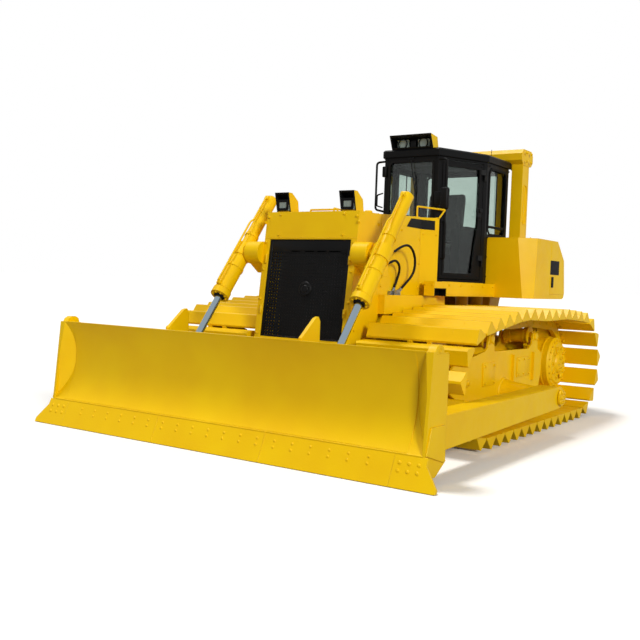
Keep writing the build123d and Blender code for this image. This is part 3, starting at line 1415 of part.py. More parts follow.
with BuildPart() as blade_end_l:
    with BuildSketch(side_plane(BLADE_HALF - SIDE_PLATE)):
        Polygon(
            SEAM,
            TOP,
            (TOP[0] + PLATE + 30, BLADE_HEIGHT),
            (SIDE_REAR_Y, BLADE_HEIGHT - 25),
            (SIDE_REAR_Y, 150),
            (BLADE_BACK_Y - 50, LOWER_BOX[0]),
            edge_at(LOWER_BOX[0], EDGE_THICK),
            edge_point(0, EDGE_THICK),
            align=None,
        )
    extrude(amount=SIDE_PLATE)
    # canted end of the bowl
    with BuildSketch(side_plane(BLADE_HALF - WING_IN)):
        with BuildLine():
            ThreePointArc(SEAM, DEEP, TOP)
            Line(TOP, SEAM)
        make_face()
    extrude(amount=WING_IN - SIDE_PLATE + 1)
    with BuildSketch(Plane.XY.offset(LOWER_BOX[0])):
        Polygon(
            (BLADE_HALF - WING_IN, DEEP[0]),
            (BLADE_HALF - SIDE_PLATE, DEEP[0] - (WING_IN - SIDE_PLATE) * WING_SLOPE),
            (BLADE_HALF - SIDE_PLATE, TIP[0]),
            (BLADE_HALF - WING_IN, TIP[0]),
            align=None,
        )
    extrude(amount=BLADE_HEIGHT, mode=Mode.SUBTRACT)
keep_pair(blade_end_l, "blade_ends")

EDGE_END_X = BLADE_WIDTH / 2 - END_BIT
with BuildPart() as cutting_edge:
    with BuildSketch(side_plane(-EDGE_END_X + 1)):
        Polygon(SEAM, TIP, edge_at(GROUND_GAP, EDGE_THICK), edge_point(0, EDGE_THICK), align=None)
    extrude(amount=2 * EDGE_END_X - 2)
keep(cutting_edge, "cutting_edge")

EDGE_FACE = Plane(origin=(0, SEAM[0], SEAM[1]), x_dir=(1, 0, 0), z_dir=(0, -edge_in[0], -edge_in[1]))
BIT_TOP_X = BLADE_WIDTH / 2 - 105.0
with BuildPart() as end_bit_l:
    with BuildSketch(side_plane(EDGE_END_X)):
        Polygon(SEAM, TIP, edge_at(GROUND_GAP, EDGE_THICK), edge_point(0, EDGE_THICK), align=None)
    extrude(amount=END_BIT)
    with BuildSketch(EDGE_FACE.offset(5)):
        Polygon(
            (BIT_TOP_X, 5),
            (BIT_TOP_X, -60),
            (BLADE_WIDTH / 2, -EDGE_LEN + 40),
            (BLADE_WIDTH / 2 + 5, -EDGE_LEN + 40),
            (BLADE_WIDTH / 2 + 5, 5),
            align=None,
        )
    extrude(amount=-EDGE_THICK - 10, mode=Mode.SUBTRACT)
keep_pair(end_bit_l, "end_bits")

with BuildPart() as blade_bracket_l:
    for x, tall in ((CYL_X - EYE_WIDTH / 2 - CLEVIS_GAP - CLEVIS_THICK, True),
                    (CYL_X + EYE_WIDTH / 2 + CLEVIS_GAP, False)):
        with BuildSketch(side_plane(x)):
            Polygon(
                (BLADE_BACK_Y, CYL_EYE_Z - 150),
                (CYL_EYE_Y - 20, CYL_EYE_Z - 100),
                (CYL_EYE_Y + 85, CYL_EYE_Z - 40),
                (CYL_EYE_Y + 85, CYL_EYE_Z + (605 if tall else 90)),
                (CYL_EYE_Y + 60, CYL_EYE_Z + (641 if tall else 140)),
                (CYL_EYE_Y + 20, CYL_EYE_Z + (630 if tall else 180)),
                (BLADE_BACK_Y, CYL_EYE_Z + (477 if tall else 380)),
                align=None,
            )
        extrude(amount=CLEVIS_THICK)
        outer = x + CLEVIS_THICK if not tall else x - 14
        with BuildSketch(side_plane(outer)):
            with Locations((CYL_EYE_Y, CYL_EYE_Z)):
                Circle(58)
        extrude(amount=14)
keep_pair(blade_bracket_l, "blade_brackets")

with BuildPart() as push_arm_l:
    with BuildSketch(side_plane(ARM_INNER_X)):
        Polygon(
            (BLADE_BACK_Y, ARM_FRONT_Z[0]),
            (TRUNNION_Y, TRUNNION_Z - ARM_DEPTH / 2),
            (TRUNNION_Y, TRUNNION_Z + ARM_DEPTH / 2),
            (TRUNNION_Y - 420, ARM_FRONT_Z[1] + 6),
            (BLADE_BACK_Y, ARM_FRONT_Z[1]),
            align=None,
        )
        with Locations((TRUNNION_Y, TRUNNION_Z)):
            Circle(ARM_DEPTH / 2)
    extrude(amount=ARM_WIDTH)
    with BuildSketch(side_plane(ARM_INNER_X)):
        with Locations((TRUNNION_Y, TRUNNION_Z)):
            Circle(TRUNNION_R + PIN_FIT)
    extrude(amount=ARM_WIDTH, mode=Mode.SUBTRACT)
keep(push_arm_l, "push_arm_l")
other_side(push_arm_l, "push_arm_r")


# =======================================================================================
# Lift cylinders
# =======================================================================================
cyl_len = hypot(CYL_EYE_Y - CYL_TOP_Y, CYL_EYE_Z - CYL_TOP_Z)
cyl_dir = ((CYL_EYE_Y - CYL_TOP_Y) / cyl_len, (CYL_EYE_Z - CYL_TOP_Z) / cyl_len)
CYL_AXIS = Axis((CYL_X, CYL_TOP_Y, CYL_TOP_Z), (0, cyl_dir[0], cyl_dir[1]))
# half section plane: local x runs along the rod, local y sideways
CYL_PLANE = Plane(origin=(CYL_X, CYL_TOP_Y, CYL_TOP_Z), x_dir=(0, cyl_dir[0], cyl_dir[1]),
                  z_dir=(0, -cyl_dir[1], cyl_dir[0]))

with BuildPart() as lift_barrel_l:
    with BuildSketch(CYL_PLANE):
        Polygon(
            (-BARREL_REAR, 0),
            (-BARREL_REAR + 8, 34),
            (-BARREL_REAR + 34, BARREL_REAR_R),
            (-90, BARREL_REAR_R),
            (-70, BARREL_R + 10),
            (70, BARREL_R + 10),
            (70, BARREL_R),
            (BARREL_FRONT - 60, BARREL_R),
            (BARREL_FRONT - 60, BARREL_R + 9),
            (BARREL_FRONT, BARREL_R + 9),
            (BARREL_FRONT, 0),
            align=None,
        )
    revolve(axis=CYL_AXIS)
    with BuildSketch(side_plane(CYL_PIN_END_X)):
        with Locations((CYL_TOP_Y, CYL_TOP_Z)):
            Circle(CYL_PIN_R)
    extrude(amount=CYL_X - CYL_PIN_END_X - ROD_R - 5)
    with BuildSketch(CYL_PLANE):
        Polygon(
            (-ROD_TRAVEL_IN - 10, 0),
            (-ROD_TRAVEL_IN - 10, ROD_R + PIN_FIT),
            (BARREL_FRONT + 10, ROD_R + PIN_FIT),
            (BARREL_FRONT + 10, 0),
            align=None,
        )
    revolve(axis=CYL_AXIS, mode=Mode.SUBTRACT)
keep(lift_barrel_l, "lift_barrel_l")
other_side(lift_barrel_l, "lift_barrel_r")

with BuildPart() as lift_rod_l:
    with BuildSketch(CYL_PLANE):
        Polygon(
            (5, 0),
            (5, ROD_R),
            (cyl_len - EYE_R + 12, ROD_R),
            (cyl_len - EYE_R + 12, 0),
            align=None,
        )
    revolve(axis=CYL_AXIS)
    with BuildSketch(side_plane(CYL_X - EYE_WIDTH / 2)):
        with Locations((CYL_EYE_Y, CYL_EYE_Z)):
            Circle(EYE_R)
    extrude(amount=EYE_WIDTH)
    with BuildSketch(side_plane(CYL_X - EYE_WIDTH / 2 - CLEVIS_GAP / 2)):
        with Locations((CYL_EYE_Y, CYL_EYE_Z)):
            Circle(EYE_PIN_R)
    extrude(amount=EYE_WIDTH + CLEVIS_GAP)
keep(lift_rod_l, "lift_rod_l")
other_side(lift_rod_l, "lift_rod_r")
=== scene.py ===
"""Looks for the crawler bulldozer: finishes, fittings, hoses, lamps, seat and studio.

Frame: forward is -Y, the machine's left is +X, up is +Z, sizes in metres.
"""
import json
import math

import bmesh
import bpy
from mathutils import Matrix, Vector


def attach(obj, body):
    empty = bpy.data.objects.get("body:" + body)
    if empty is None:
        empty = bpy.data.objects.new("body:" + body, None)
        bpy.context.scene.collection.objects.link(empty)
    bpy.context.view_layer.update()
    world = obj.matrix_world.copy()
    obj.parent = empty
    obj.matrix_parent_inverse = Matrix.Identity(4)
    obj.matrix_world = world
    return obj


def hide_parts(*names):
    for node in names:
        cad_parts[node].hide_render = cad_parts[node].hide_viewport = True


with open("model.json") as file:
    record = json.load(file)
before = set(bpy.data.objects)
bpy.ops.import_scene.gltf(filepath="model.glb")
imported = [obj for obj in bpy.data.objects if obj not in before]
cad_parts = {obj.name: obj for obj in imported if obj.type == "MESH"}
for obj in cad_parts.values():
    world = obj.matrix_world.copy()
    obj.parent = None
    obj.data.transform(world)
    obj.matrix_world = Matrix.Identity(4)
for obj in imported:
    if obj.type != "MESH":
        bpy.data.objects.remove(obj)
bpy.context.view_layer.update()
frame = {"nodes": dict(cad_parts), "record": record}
scene = bpy.context.scene

X, Y, Z = Vector((1, 0, 0)), Vector((0, 1, 0)), Vector((0, 0, 1))

# ---- colours, sRGB ---------------------------------------------------------------------
YELLOW, YELLOW_DEEP = "#F1C600", "#EBBB00"
BLACK_COAT, BLACK_SOFT = "#060607", "#0B0C0D"
ENGINE_GREY = "#161718"
GLASS_TINT = "#D3DFD9"
LENS_CLEAR = "#A5B5AC"
STEEL, STEEL_DARK = "#B9BDC0", "#85898C"
RUBBER = "#0D0D0E"
SEAT_DARK, SEAT_LIGHT = "#141518", "#23252A"
PLASTIC = "#0E0F10"
FLOOR, FLOOR_BOUNCE = "#FFFFFF", "#9C9C9E"


def linear(colour):
    """An sRGB hex colour as linear RGBA."""
    parts = [int(colour[i:i + 2], 16) / 255 for i in (1, 3, 5)]
    return [p / 12.92 if p <= 0.04045 else ((p + 0.055) / 1.055) ** 2.4 for p in parts] + [1]


def add(tree, kind, inputs=None, **settings):
    """Adds a shader node with its settings, values and links."""
    made = tree.nodes.new("ShaderNode" + kind)
    for name, value in settings.items():
        setattr(made, name, value)
    for name, value in (inputs or {}).items():
        socket = made.inputs[name]
        if isinstance(value, bpy.types.NodeSocket):
            tree.links.new(value, socket)
        else:
            socket.default_value = value
    return made


def start_material(name, **shader_values):
    """A new material with its shader, tree and object coordinates."""
    material = bpy.data.materials.new(name)
    material.use_nodes = True
    tree = material.node_tree
    shader = tree.nodes["Principled BSDF"]
    for socket, value in shader_values.items():
        shader.inputs[socket.replace("_", " ")].default_value = value
    place = add(tree, "TexCoord").outputs["Object"]
    return material, tree, shader, place


def mottle(tree, place, size, low, high, detail=2.0):
    """Soft random value between low and high, with blotches of the given size."""
    noise = add(tree, "TexNoise", {"Vector": place, "Scale": 1 / size, "Detail": detail})
    spread = add(tree, "MapRange", {"Value": noise.outputs["Fac"], "From Min": 0.3,
                                    "From Max": 0.7, "To Min": low, "To Max": high})
    return spread.outputs["Result"]


def blend_colours(tree, factor, first, second):
    mix = add(tree, "Mix", {0: factor, 6: first, 7: second}, data_type="RGBA")
    return mix.outputs[2]


def relief(tree, height, depth, strength=1.0, normal=None):
    inputs = {"Height": height, "Distance": depth, "Strength": strength}
    if normal is not None:
        inputs["Normal"] = normal
    return add(tree, "Bump", inputs).outputs["Normal"]


def sprayed_enamel(name, colour, tone, roughness, peel, edge, gloss):
    """Gloss two-pack enamel sprayed on welded plate: rolled edges catch a highlight, the film
    has orange peel, and its tone drifts a little from panel to panel."""
    material, tree, shader, place = start_material(name, IOR=1.5, Specular_IOR_Level=gloss)
    drift = mottle(tree, place, 0.45, 0.0, 1.0)
    colour_out = blend_colours(tree, drift, linear(colour), linear(tone))
    tree.links.new(colour_out, shader.inputs["Base Color"])
    tree.links.new(mottle(tree, place, 0.08, roughness - 0.05, roughness + 0.06),
                   shader.inputs["Roughness"])
    # real orange peel is about 3 mm across, drawn at 14 mm so that it shows at all
    rolled = add(tree, "Bevel", {"Radius": edge}, samples=4).outputs["Normal"]
    peel_noise = mottle(tree, place, 0.014, 0.0, 1.0, 1.0)
    tree.links.new(relief(tree, peel_noise, peel, 0.35, rolled), shader.inputs["Normal"])
    return material


paint = sprayed_enamel("yellow_gloss_enamel", YELLOW, YELLOW_DEEP, 0.38, 0.0006, 0.006, 0.2)
black_coat = sprayed_enamel("black_satin_powder_coat", BLACK_COAT, BLACK_SOFT, 0.42, 0.0008, 0.005, 0.16)
engine_coat = sprayed_enamel("grey_painted_casting", ENGINE_GREY, BLACK_SOFT, 0.6, 0.002, 0.008, 0.3)


def hard_chrome():
    """Ground and hard-chromed cylinder rod: mirror bright, a little cloudier in places."""
    material, tree, shader, place = start_material("hard_chrome_rod", Metallic=1.0)
    shader.inputs["Base Color"].default_value = linear("#AFC2CF")
    tree.links.new(mottle(tree, place, 0.3, 0.08, 0.12), shader.inputs["Roughness"])
    return material


def cab_glass():
    """Green-tinted toughened cab glass, 8 mm thick: clear, with a green edge."""
    material, tree, shader, place = start_material(
        "tinted_toughened_glass", Transmission_Weight=1.0, Roughness=0.02, IOR=1.45)
    tint = blend_colours(tree, mottle(tree, place, 0.6, 0.0, 1.0), linear(GLASS_TINT),
                         linear("#CAD8D1"))
    tree.links.new(tint, shader.inputs["Base Color"])
    return material


def lamp_lens():
    """Pressed glass lamp lens: clear, with moulded flutes 35 mm apart that break up the bulb."""
    material, tree, shader, place = start_material(
        "fluted_lamp_glass", Transmission_Weight=0.35, Roughness=0.15, IOR=1.5)
    shader.inputs["Base Color"].default_value = linear(LENS_CLEAR)
    flutes = add(tree, "TexWave", {"Vector": place, "Scale": 1 / 0.11, "Distortion": 0.0},
                 bands_direction="X")
    tree.links.new(relief(tree, flutes.outputs["Fac"], 0.002, 0.6), shader.inputs["Normal"])
    return material


def plated_steel(name, colour, roughness):
    """Zinc-plated or bright steel: dull metal whose plating is a little cloudy."""
    material, tree, shader, place = start_material(name, Metallic=1.0)
    cloud = blend_colours(tree, mottle(tree, place, 0.03, 0, 1), linear(colour), linear(STEEL_DARK))
    tree.links.new(cloud, shader.inputs["Base Color"])
    tree.links.new(mottle(tree, place, 0.012, roughness, roughness + 0.15),
                   shader.inputs["Roughness"])
    return material


def moulded(name, colour, tone, roughness, grain, depth):
    """Moulded plastic or rubber: matt, with a fine grain from the mould's etched face."""
    material, tree, shader, place = start_material(name, IOR=1.5, Specular_IOR_Level=0.2)
    base = blend_colours(tree, mottle(tree, place, 0.15, 0, 1), linear(colour), linear(tone))
    tree.links.new(base, shader.inputs["Base Color"])
    tree.links.new(mottle(tree, place, 0.05, roughness - 0.05, roughness + 0.05),
                   shader.inputs["Roughness"])
    cells = add(tree, "TexVoronoi", {"Vector": place, "Scale": 1 / grain})
    tree.links.new(relief(tree, cells.outputs["Distance"], depth, 0.5), shader.inputs["Normal"])
    return material


def seat_fabric():
    """Woven polyester seat cloth: two dark yarns crossing, drawn at 12 mm a wave so that the
    weave shows, with the soft sheen of brushed yarn."""
    material, tree, shader, place = start_material(
        "woven_seat_cloth", Roughness=0.9, Sheen_Weight=0.3, Sheen_Roughness=0.5)
    thread = 0.006
    rows = [add(tree, "TexWave", {"Vector": place, "Scale": 1 / (thread * 6.3)},
                bands_direction=side).outputs["Fac"] for side in "XY"]
    weave = add(tree, "Math", {0: rows[0], 1: rows[1]}, operation="MULTIPLY").outputs["Value"]
    tree.links.new(blend_colours(tree, weave, linear(SEAT_DARK), linear(SEAT_LIGHT)),
                   shader.inputs["Base Color"])
    tree.links.new(relief(tree, weave, 0.0015, 0.8), shader.inputs["Normal"])
    return material


chrome = hard_chrome()
glass = cab_glass()
lens_glass = lamp_lens()
zinc = plated_steel("zinc_plated_steel", STEEL, 0.35)
rubber = moulded("hose_cover_rubber", RUBBER, "#151516", 0.62, 0.004, 0.0006)
gasket = moulded("window_gasket_rubber", "#0B0B0C", RUBBER, 0.7, 0.006, 0.0005)
plastic = moulded("moulded_abs_plastic", PLASTIC, "#141517", 0.55, 0.005, 0.0004)
cloth = seat_fabric()

MATERIAL_OF_SLOT = {
    "yellow_paint": paint, "black_paint": black_coat, "engine_paint": engine_coat,
    "chrome_rod": chrome, "tinted_glass": glass, "lamp_glass": lens_glass, "seat_cloth": cloth,
    "cab_plastic": plastic, "hose_rubber": rubber, "fitting_steel": zinc,
}
for row in frame["record"]["subparts"]:
    holder = frame["nodes"][row["node"]]
    for place in holder.material_slots:
        place.material = MATERIAL_OF_SLOT[row["material_slot"]]


def put(bm, name, material, body="machine", angle=35):
    """Closes a bmesh as a piece: welded, normals outwards, riding on its body."""
    bmesh.ops.remove_doubles(bm, verts=bm.verts, dist=2e-5)
    bmesh.ops.recalc_face_normals(bm, faces=bm.faces)
    for face in bm.faces:
        face.smooth = True
    mesh = bpy.data.meshes.new(name)
    bm.to_mesh(mesh)
    bm.free()
    mesh.set_sharp_from_angle(angle=math.radians(angle))
    mesh.materials.append(material)
    piece = bpy.data.objects.new(name, mesh)
    scene.collection.objects.link(piece)
    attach(piece, body)
    return piece


def both_sides(bm):
    """Adds the right-hand twin of everything made so far."""
    bmesh.ops.mirror(bm, geom=bm.verts[:] + bm.edges[:] + bm.faces[:], axis="X", merge_dist=-1)
    return bm


def block(bm, low, high, edge=0.0, steps=2):
    """A bar or plate between two corners, its edges rolled by the given radius."""
    low, high = Vector(low), Vector(high)
    verts = bmesh.ops.create_cube(bm, size=1)["verts"]
    bmesh.ops.scale(bm, vec=high - low, verts=verts)
    bmesh.ops.translate(bm, vec=(low + high) / 2, verts=verts)
    if edge:
        edges = list({e for v in verts for e in v.link_edges})
        bmesh.ops.bevel(bm, geom=edges, offset=edge, segments=steps, profile=0.5,
                        affect="EDGES", material=-1)
    return bm


def slab(bm, side, xs, ys, zs, edge=0.0, steps=2):
    """A block between two reaches out from the middle, on the left (1) or the right (-1)."""
    low, high = sorted(side * x for x in xs)
    return block(bm, (low, ys[0], zs[0]), (high, ys[1], zs[1]), edge, steps)


def join(bm, other, place):
    """Adds another bmesh, moved to its place."""
    other.transform(place)
    mesh = bpy.data.meshes.new("joined")
    other.to_mesh(mesh)
    other.free()
    bm.from_mesh(mesh)
    bpy.data.meshes.remove(mesh)


def cut_plate(bm, outline, across, start, end, edge=0.0):
    """A flat plate cut to an outline of (y, z), (x, z) or (x, y) and as thick as start to end."""
    order = {"x": (2, 0, 1), "y": (0, 2, 1), "z": (0, 1, 2)}[across]
    corners = [(*point, start) for point in outline]
    face = bm.faces.new([bm.verts.new([corner[i] for i in order]) for corner in corners])
    grown = bmesh.ops.extrude_face_region(bm, geom=[face])["geom"]
    away = Vector([0, 0, 0])
    away["xyz".index(across)] = end - start
    moved = [v for v in grown if isinstance(v, bmesh.types.BMVert)]
    bmesh.ops.translate(bm, vec=away, verts=moved)
    if edge:
        edges = {e for v in moved for e in v.link_edges if all(p in moved for p in e.verts)}
        bmesh.ops.bevel(bm, geom=list(edges), offset=edge, segments=1, profile=0.5,
                        affect="EDGES", material=-1)
    return bm


def facing(at, direction, size=1.0, spin=0.0):
    """Places a shape made about +Z at a spot, pointing along a direction."""
    turn = Vector(direction).to_track_quat("Z", "Y").to_matrix().to_4x4()
    return (Matrix.Translation(Vector(at)) @ turn @ Matrix.Rotation(spin, 4, "Z")
            @ Matrix.Scale(size, 4))


def turned(profile, steps=24, arc=math.tau):
    """A mesh turned from (radius, height) points about Z, as on a lathe."""
    bm = bmesh.new()
    verts = [bm.verts.new((radius, 0, height)) for radius, height in profile]
    edges = [bm.edges.new(pair) for pair in zip(verts, verts[1:])]
    bmesh.ops.spin(bm, geom=verts + edges, axis=Z, cent=(0, 0, 0), angle=arc, steps=steps,
                   use_merge=arc == math.tau)
    bmesh.ops.remove_doubles(bm, verts=bm.verts, dist=1e-6)
    mesh = bpy.data.meshes.new("turned")
    bm.to_mesh(mesh)
    bm.free()
    return mesh


def stamp(bm, mesh, *places):
    """Adds a copy of a mesh at each place."""
    for place in places:
        copy = mesh.copy()
        copy.transform(place)
        bm.from_mesh(copy)
        bpy.data.meshes.remove(copy)
    return bm


def hex_bolt():
    """Hexagon bolt head on its washer, one unit across the flats, standing on Z = 0."""
    bm = bmesh.new()
    head = bmesh.ops.create_cone(bm, cap_ends=True, segments=6, radius1=0.577, radius2=0.577,
                                 depth=0.62)["verts"]
    bmesh.ops.translate(bm, vec=(0, 0, 0.43), verts=head)
    top = [e for e in bm.edges if all(v.co.z > 0.6 for v in e.verts)]
    bmesh.ops.bevel(bm, geom=top, offset=0.07, segments=1, profile=0.5, affect="EDGES", material=-1)
    washer = bmesh.ops.create_cone(bm, cap_ends=True, segments=16, radius1=0.86, radius2=0.82,
                                   depth=0.14)["verts"]
    bmesh.ops.translate(bm, vec=(0, 0, 0.06), verts=washer)
    mesh = bpy.data.meshes.new("bolt")
    bm.to_mesh(mesh)
    bm.free()
    return mesh


BOLT = hex_bolt()
PLOW_HEAD = turned([(0, 0.5), (0.7, 0.42), (1, 0.1), (1.05, -0.3)], 12)


def bolts(bm, spots, direction, flats, head=BOLT):
    """Bolt heads at a list of spots, each a little turned from the last."""
    for i, spot in enumerate(spots):
        stamp(bm, head, facing(spot, direction, flats, i * 0.7))
    return bm


def ring(centre, radius, count, axis="x", start=0.0):
    """Spots evenly round a circle that faces along an axis."""
    spots = []
    for i in range(count):
        a = start + math.tau * i / count
        offset = (0, radius * math.cos(a), radius * math.sin(a))
        if axis == "y":
            offset = (offset[1], 0, offset[2])
        spots.append(Vector(centre) + Vector(offset))
    return spots


def pipe(bm, points, radius, bend=0.0, sides=6):
    """A round bar or tube through the points, its corners bent to about the given size."""
    curve = bpy.data.curves.new("bar", "CURVE")
    curve.dimensions = "3D"
    curve.bevel_depth, curve.bevel_resolution = radius, sides // 2 - 1
    curve.use_fill_caps = True
    route = [Vector(p) for p in points]
    path = [route[0]]
    for before, here, after in zip(route, route[1:], route[2:]):
        if bend:
            path.append(here + (before - here).normalized() * bend)
        path.append(here)
        if bend:
            path.append(here + (after - here).normalized() * bend)
    path.append(route[-1])
    spline = curve.splines.new("NURBS" if bend else "POLY")
    spline.points.add(len(path) - 1)
    for knot, spot in zip(spline.points, path):
        knot.co = (*spot, 1)
    if bend:
        spline.order_u, spline.use_endpoint_u, spline.resolution_u = 3, True, 4
    holder = bpy.data.objects.new("bar", curve)
    mesh = bpy.data.meshes.new_from_object(holder)
    bm.from_mesh(mesh)
    bpy.data.meshes.remove(mesh)
    bpy.data.objects.remove(holder)
    bpy.data.curves.remove(curve)
    return bm


def frame_of(outline, width, depth):
    """A flat picture-frame strip round an outline of (across, up), width wide and depth deep."""
    bm = bmesh.new()
    face = bm.faces.new([bm.verts.new((a, u, 0)) for a, u in outline])
    bm.normal_update()
    bmesh.ops.inset_region(bm, faces=[face], thickness=width, depth=0, use_even_offset=True,
                           use_boundary=True)
    bmesh.ops.delete(bm, geom=[face], context="FACES")
    bmesh.ops.solidify(bm, geom=bm.faces[:], thickness=-depth)
    return bm


def rectangle(width, height, corner=0.0, middle=(0, 0)):
    """Corners of an upright rectangle about its middle, cut across at each corner."""
    w, h, c = width / 2, height / 2, corner
    spots = ([(w - c, -h), (w, -h + c), (w, h - c), (w - c, h), (-w + c, h), (-w, h - c),
              (-w, -h + c), (-w + c, -h)] if c else [(w, -h), (w, h), (-w, h), (-w, -h)])
    return [(a + middle[0], u + middle[1]) for a, u in spots]

# ---- hoses -------------------------------------------------------------------------------
HOSE_DIAMETER = 0.024
HOSE_ROUTES = {
    "outer": [(0.625, -0.985, 1.690), (0.625, -0.830, 1.690), (0.632, -0.676, 1.762),
              (0.640, -0.528, 1.788), (0.640, -0.402, 1.682), (0.628, -0.388, 1.518),
              (0.573, -0.494, 1.392), (0.573, -0.589, 1.337)],
    "inner": [(0.600, -0.985, 1.590), (0.600, -0.850, 1.590), (0.600, -0.718, 1.638),
              (0.588, -0.597, 1.568), (0.536, -0.573, 1.430), (0.536, -0.644, 1.330)],
}
FERRULE = turned([(0.0125, 0), (0.016, 0.002), (0.016, 0.034), (0.0145, 0.038), (0.0145, 0.044),
                  (0.0125, 0.046), (0.0125, 0)], 20)
for lay, route in HOSE_ROUTES.items():
    for side, letter in ((1, "l"), (-1, "r")):
        knots = [Vector((side * x, y, z)) for x, y, z in route]
        curve = bpy.data.curves.new(f"hose_curve_{lay}_{letter}", "CURVE")
        curve.dimensions = "3D"
        curve.bevel_depth, curve.bevel_resolution = HOSE_DIAMETER / 2, 4
        spline = curve.splines.new("NURBS")
        spline.points.add(len(knots) - 1)
        for knot, spot in zip(spline.points, knots):
            knot.co = (*spot, 1)
        spline.order_u, spline.use_endpoint_u, spline.resolution_u = 3, True, 10
        line = bpy.data.objects.new(f"hose_{lay}_{letter}_rubber", curve)
        scene.collection.objects.link(line)
        curve.materials.append(rubber)
        ends = bmesh.new()
        stamp(ends, FERRULE, facing(knots[0], knots[1] - knots[0]),
              facing(knots[-1], knots[-2] - knots[-1]))
        ends = put(ends, f"hose_{lay}_{letter}_ferrules", zinc)
        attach(line, "machine")
        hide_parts(f"hose_{lay}_{letter}")

# ---- tracks: pins, bushings, shoe bolts --------------------------------------------------
PITCH, LINKS = 0.2032, 39
CHAIN_Z = 0.159
IDLER, SPROCKET = (-0.97634, 0.551552), (1.711, 0.583544)
IDLER_R, SPROCKET_R = 0.392552, 0.424544
UPPER = [(1.064, 1.052088), (0.480, 1.039088), (-0.110, 1.062088)]
TRACK_X = 1.15


def touch(wheel, radius, spot, side):
    y, z = spot[0] - wheel[0], spot[1] - wheel[1]
    return math.atan2(z, y) + side * math.acos(radius / math.hypot(y, z))


def wheel_points(wheel, radius, start, end):
    steps = 180
    return [(wheel[0] + radius * math.cos(start + (end - start) * i / steps),
             wheel[1] + radius * math.sin(start + (end - start) * i / steps))
            for i in range(steps + 1)]


def pin_places():
    """(y, z) of every track pin, a pitch apart along the closed chain."""
    line = (wheel_points(SPROCKET, SPROCKET_R, -math.pi / 2, touch(SPROCKET, SPROCKET_R, UPPER[0], -1))
            + UPPER + wheel_points(IDLER, IDLER_R, touch(IDLER, IDLER_R, UPPER[-1], 1), 1.5 * math.pi)
            + [(SPROCKET[0], CHAIN_Z)])
    pins = [Vector(line[0])]
    for start, end in zip(line, line[1:]):
        start, run = Vector(start), Vector(end) - Vector(start)
        while len(pins) < LINKS:
            off = start - pins[-1]
            a, b, c = run.dot(run), off.dot(run), off.dot(off) - PITCH ** 2
            along = (math.sqrt(max(b * b - a * c, 0)) - b) / a
            if along > 1:
                break
            pins.append(start + run * along)
    return pins


PINS = pin_places()
# each link's middle, the way out from the chain and the way along it
LINK_PLACES = []
for a, b in zip(PINS, PINS[1:] + PINS[:1]):
    spot, along = (a + b) / 2, (a - b).normalized()
    LINK_PLACES.append((Vector((TRACK_X, *spot)), Vector((0, -along.y, along.x)), Vector((0, *along))))
BUSHING = turned([(0, -0.073), (0.033, -0.073), (0.033, 0.073), (0, 0.073)], 12)
PIN_END = turned([(0, 0.0), (0.012, 0.0), (0.021, -0.003), (0.023, -0.012)], 12)
chain = bmesh.new()
for pin in PINS:
    stamp(chain, BUSHING, facing((TRACK_X, pin.x, pin.y), X))
    for x, way in ((TRACK_X + 0.124, X), (TRACK_X - 0.124, -X)):
        stamp(chain, PIN_END, facing((x, pin.x, pin.y), way))
put(both_sides(chain), "track_pins_and_bushings", paint)

# each shoe is bolted to its two links from the chain's side
shoe_nuts = bmesh.new()
for base, out, run in LINK_PLACES:
    for x in (-0.150, -0.042, 0.042, 0.150):
        for reach in (-0.045, 0.045):
            stamp(shoe_nuts, BOLT,
                  facing(base + out * 0.050 + X * x + run * reach, -out, 0.024, x + reach))
put(both_sides(shoe_nuts), "track_shoe_bolts", paint)

# weld beads up both flanks of each shoe, near its ends
shoe_ends = bmesh.new()
for base, out, run in LINK_PLACES:
    for x in (-0.30, 0.30):
        for reach in (-1, 1):
            foot = base + out * 0.0745 + run * reach * 0.083 + X * x
            crest = base + out * 0.150 + run * reach * 0.018 + X * x
            pipe(shoe_ends, [foot, crest], 0.0035, sides=4)
put(both_sides(shoe_ends), "track_shoe_weld_beads", paint)

# ---- final drive covers, roller and idler details ----------------------------------------
HUB_X = 1.415
hub = bmesh.new()
bolts(hub, ring((HUB_X - 0.0300, *SPROCKET), 0.172, 10), X, 0.026)
bolts(hub, ring((HUB_X - 0.0480, *SPROCKET), 0.2505, 20, start=0.1), X, 0.016)
bolts(hub, ring((HUB_X, *SPROCKET), 0.058, 6), X, 0.018)
stamp(hub, turned([(0.262, 0), (0.288, 0.0), (0.291, 0.004), (0.291, 0.016), (0.288, 0.02), (0.262, 0.02),
                   (0.262, 0)], 64), facing((HUB_X - 0.150, *SPROCKET), X))
stamp(hub, turned([(0, 0.012), (0.02, 0.012), (0.026, 0.006), (0.026, 0)], 16),
      facing((HUB_X - 0.012, SPROCKET[0] + 0.03, SPROCKET[1] - 0.145), X))
for a in (0.5, 2.1, 3.7, 5.3):
    y, z = math.cos(a), math.sin(a)
    cut_plate(hub, [(SPROCKET[0] + y * 0.125 - z * 0.012, SPROCKET[1] + z * 0.125 + y * 0.012),
                    (SPROCKET[0] + y * 0.125 + z * 0.012, SPROCKET[1] + z * 0.125 - y * 0.012),
                    (SPROCKET[0] + y * 0.212 + z * 0.008, SPROCKET[1] + z * 0.212 - y * 0.008),
                    (SPROCKET[0] + y * 0.212 - z * 0.008, SPROCKET[1] + z * 0.212 + y * 0.008)],
              "x", HUB_X - 0.031, HUB_X - 0.018, 0.003)
put(both_sides(hub), "final_drive_bolts_and_ribs", paint)

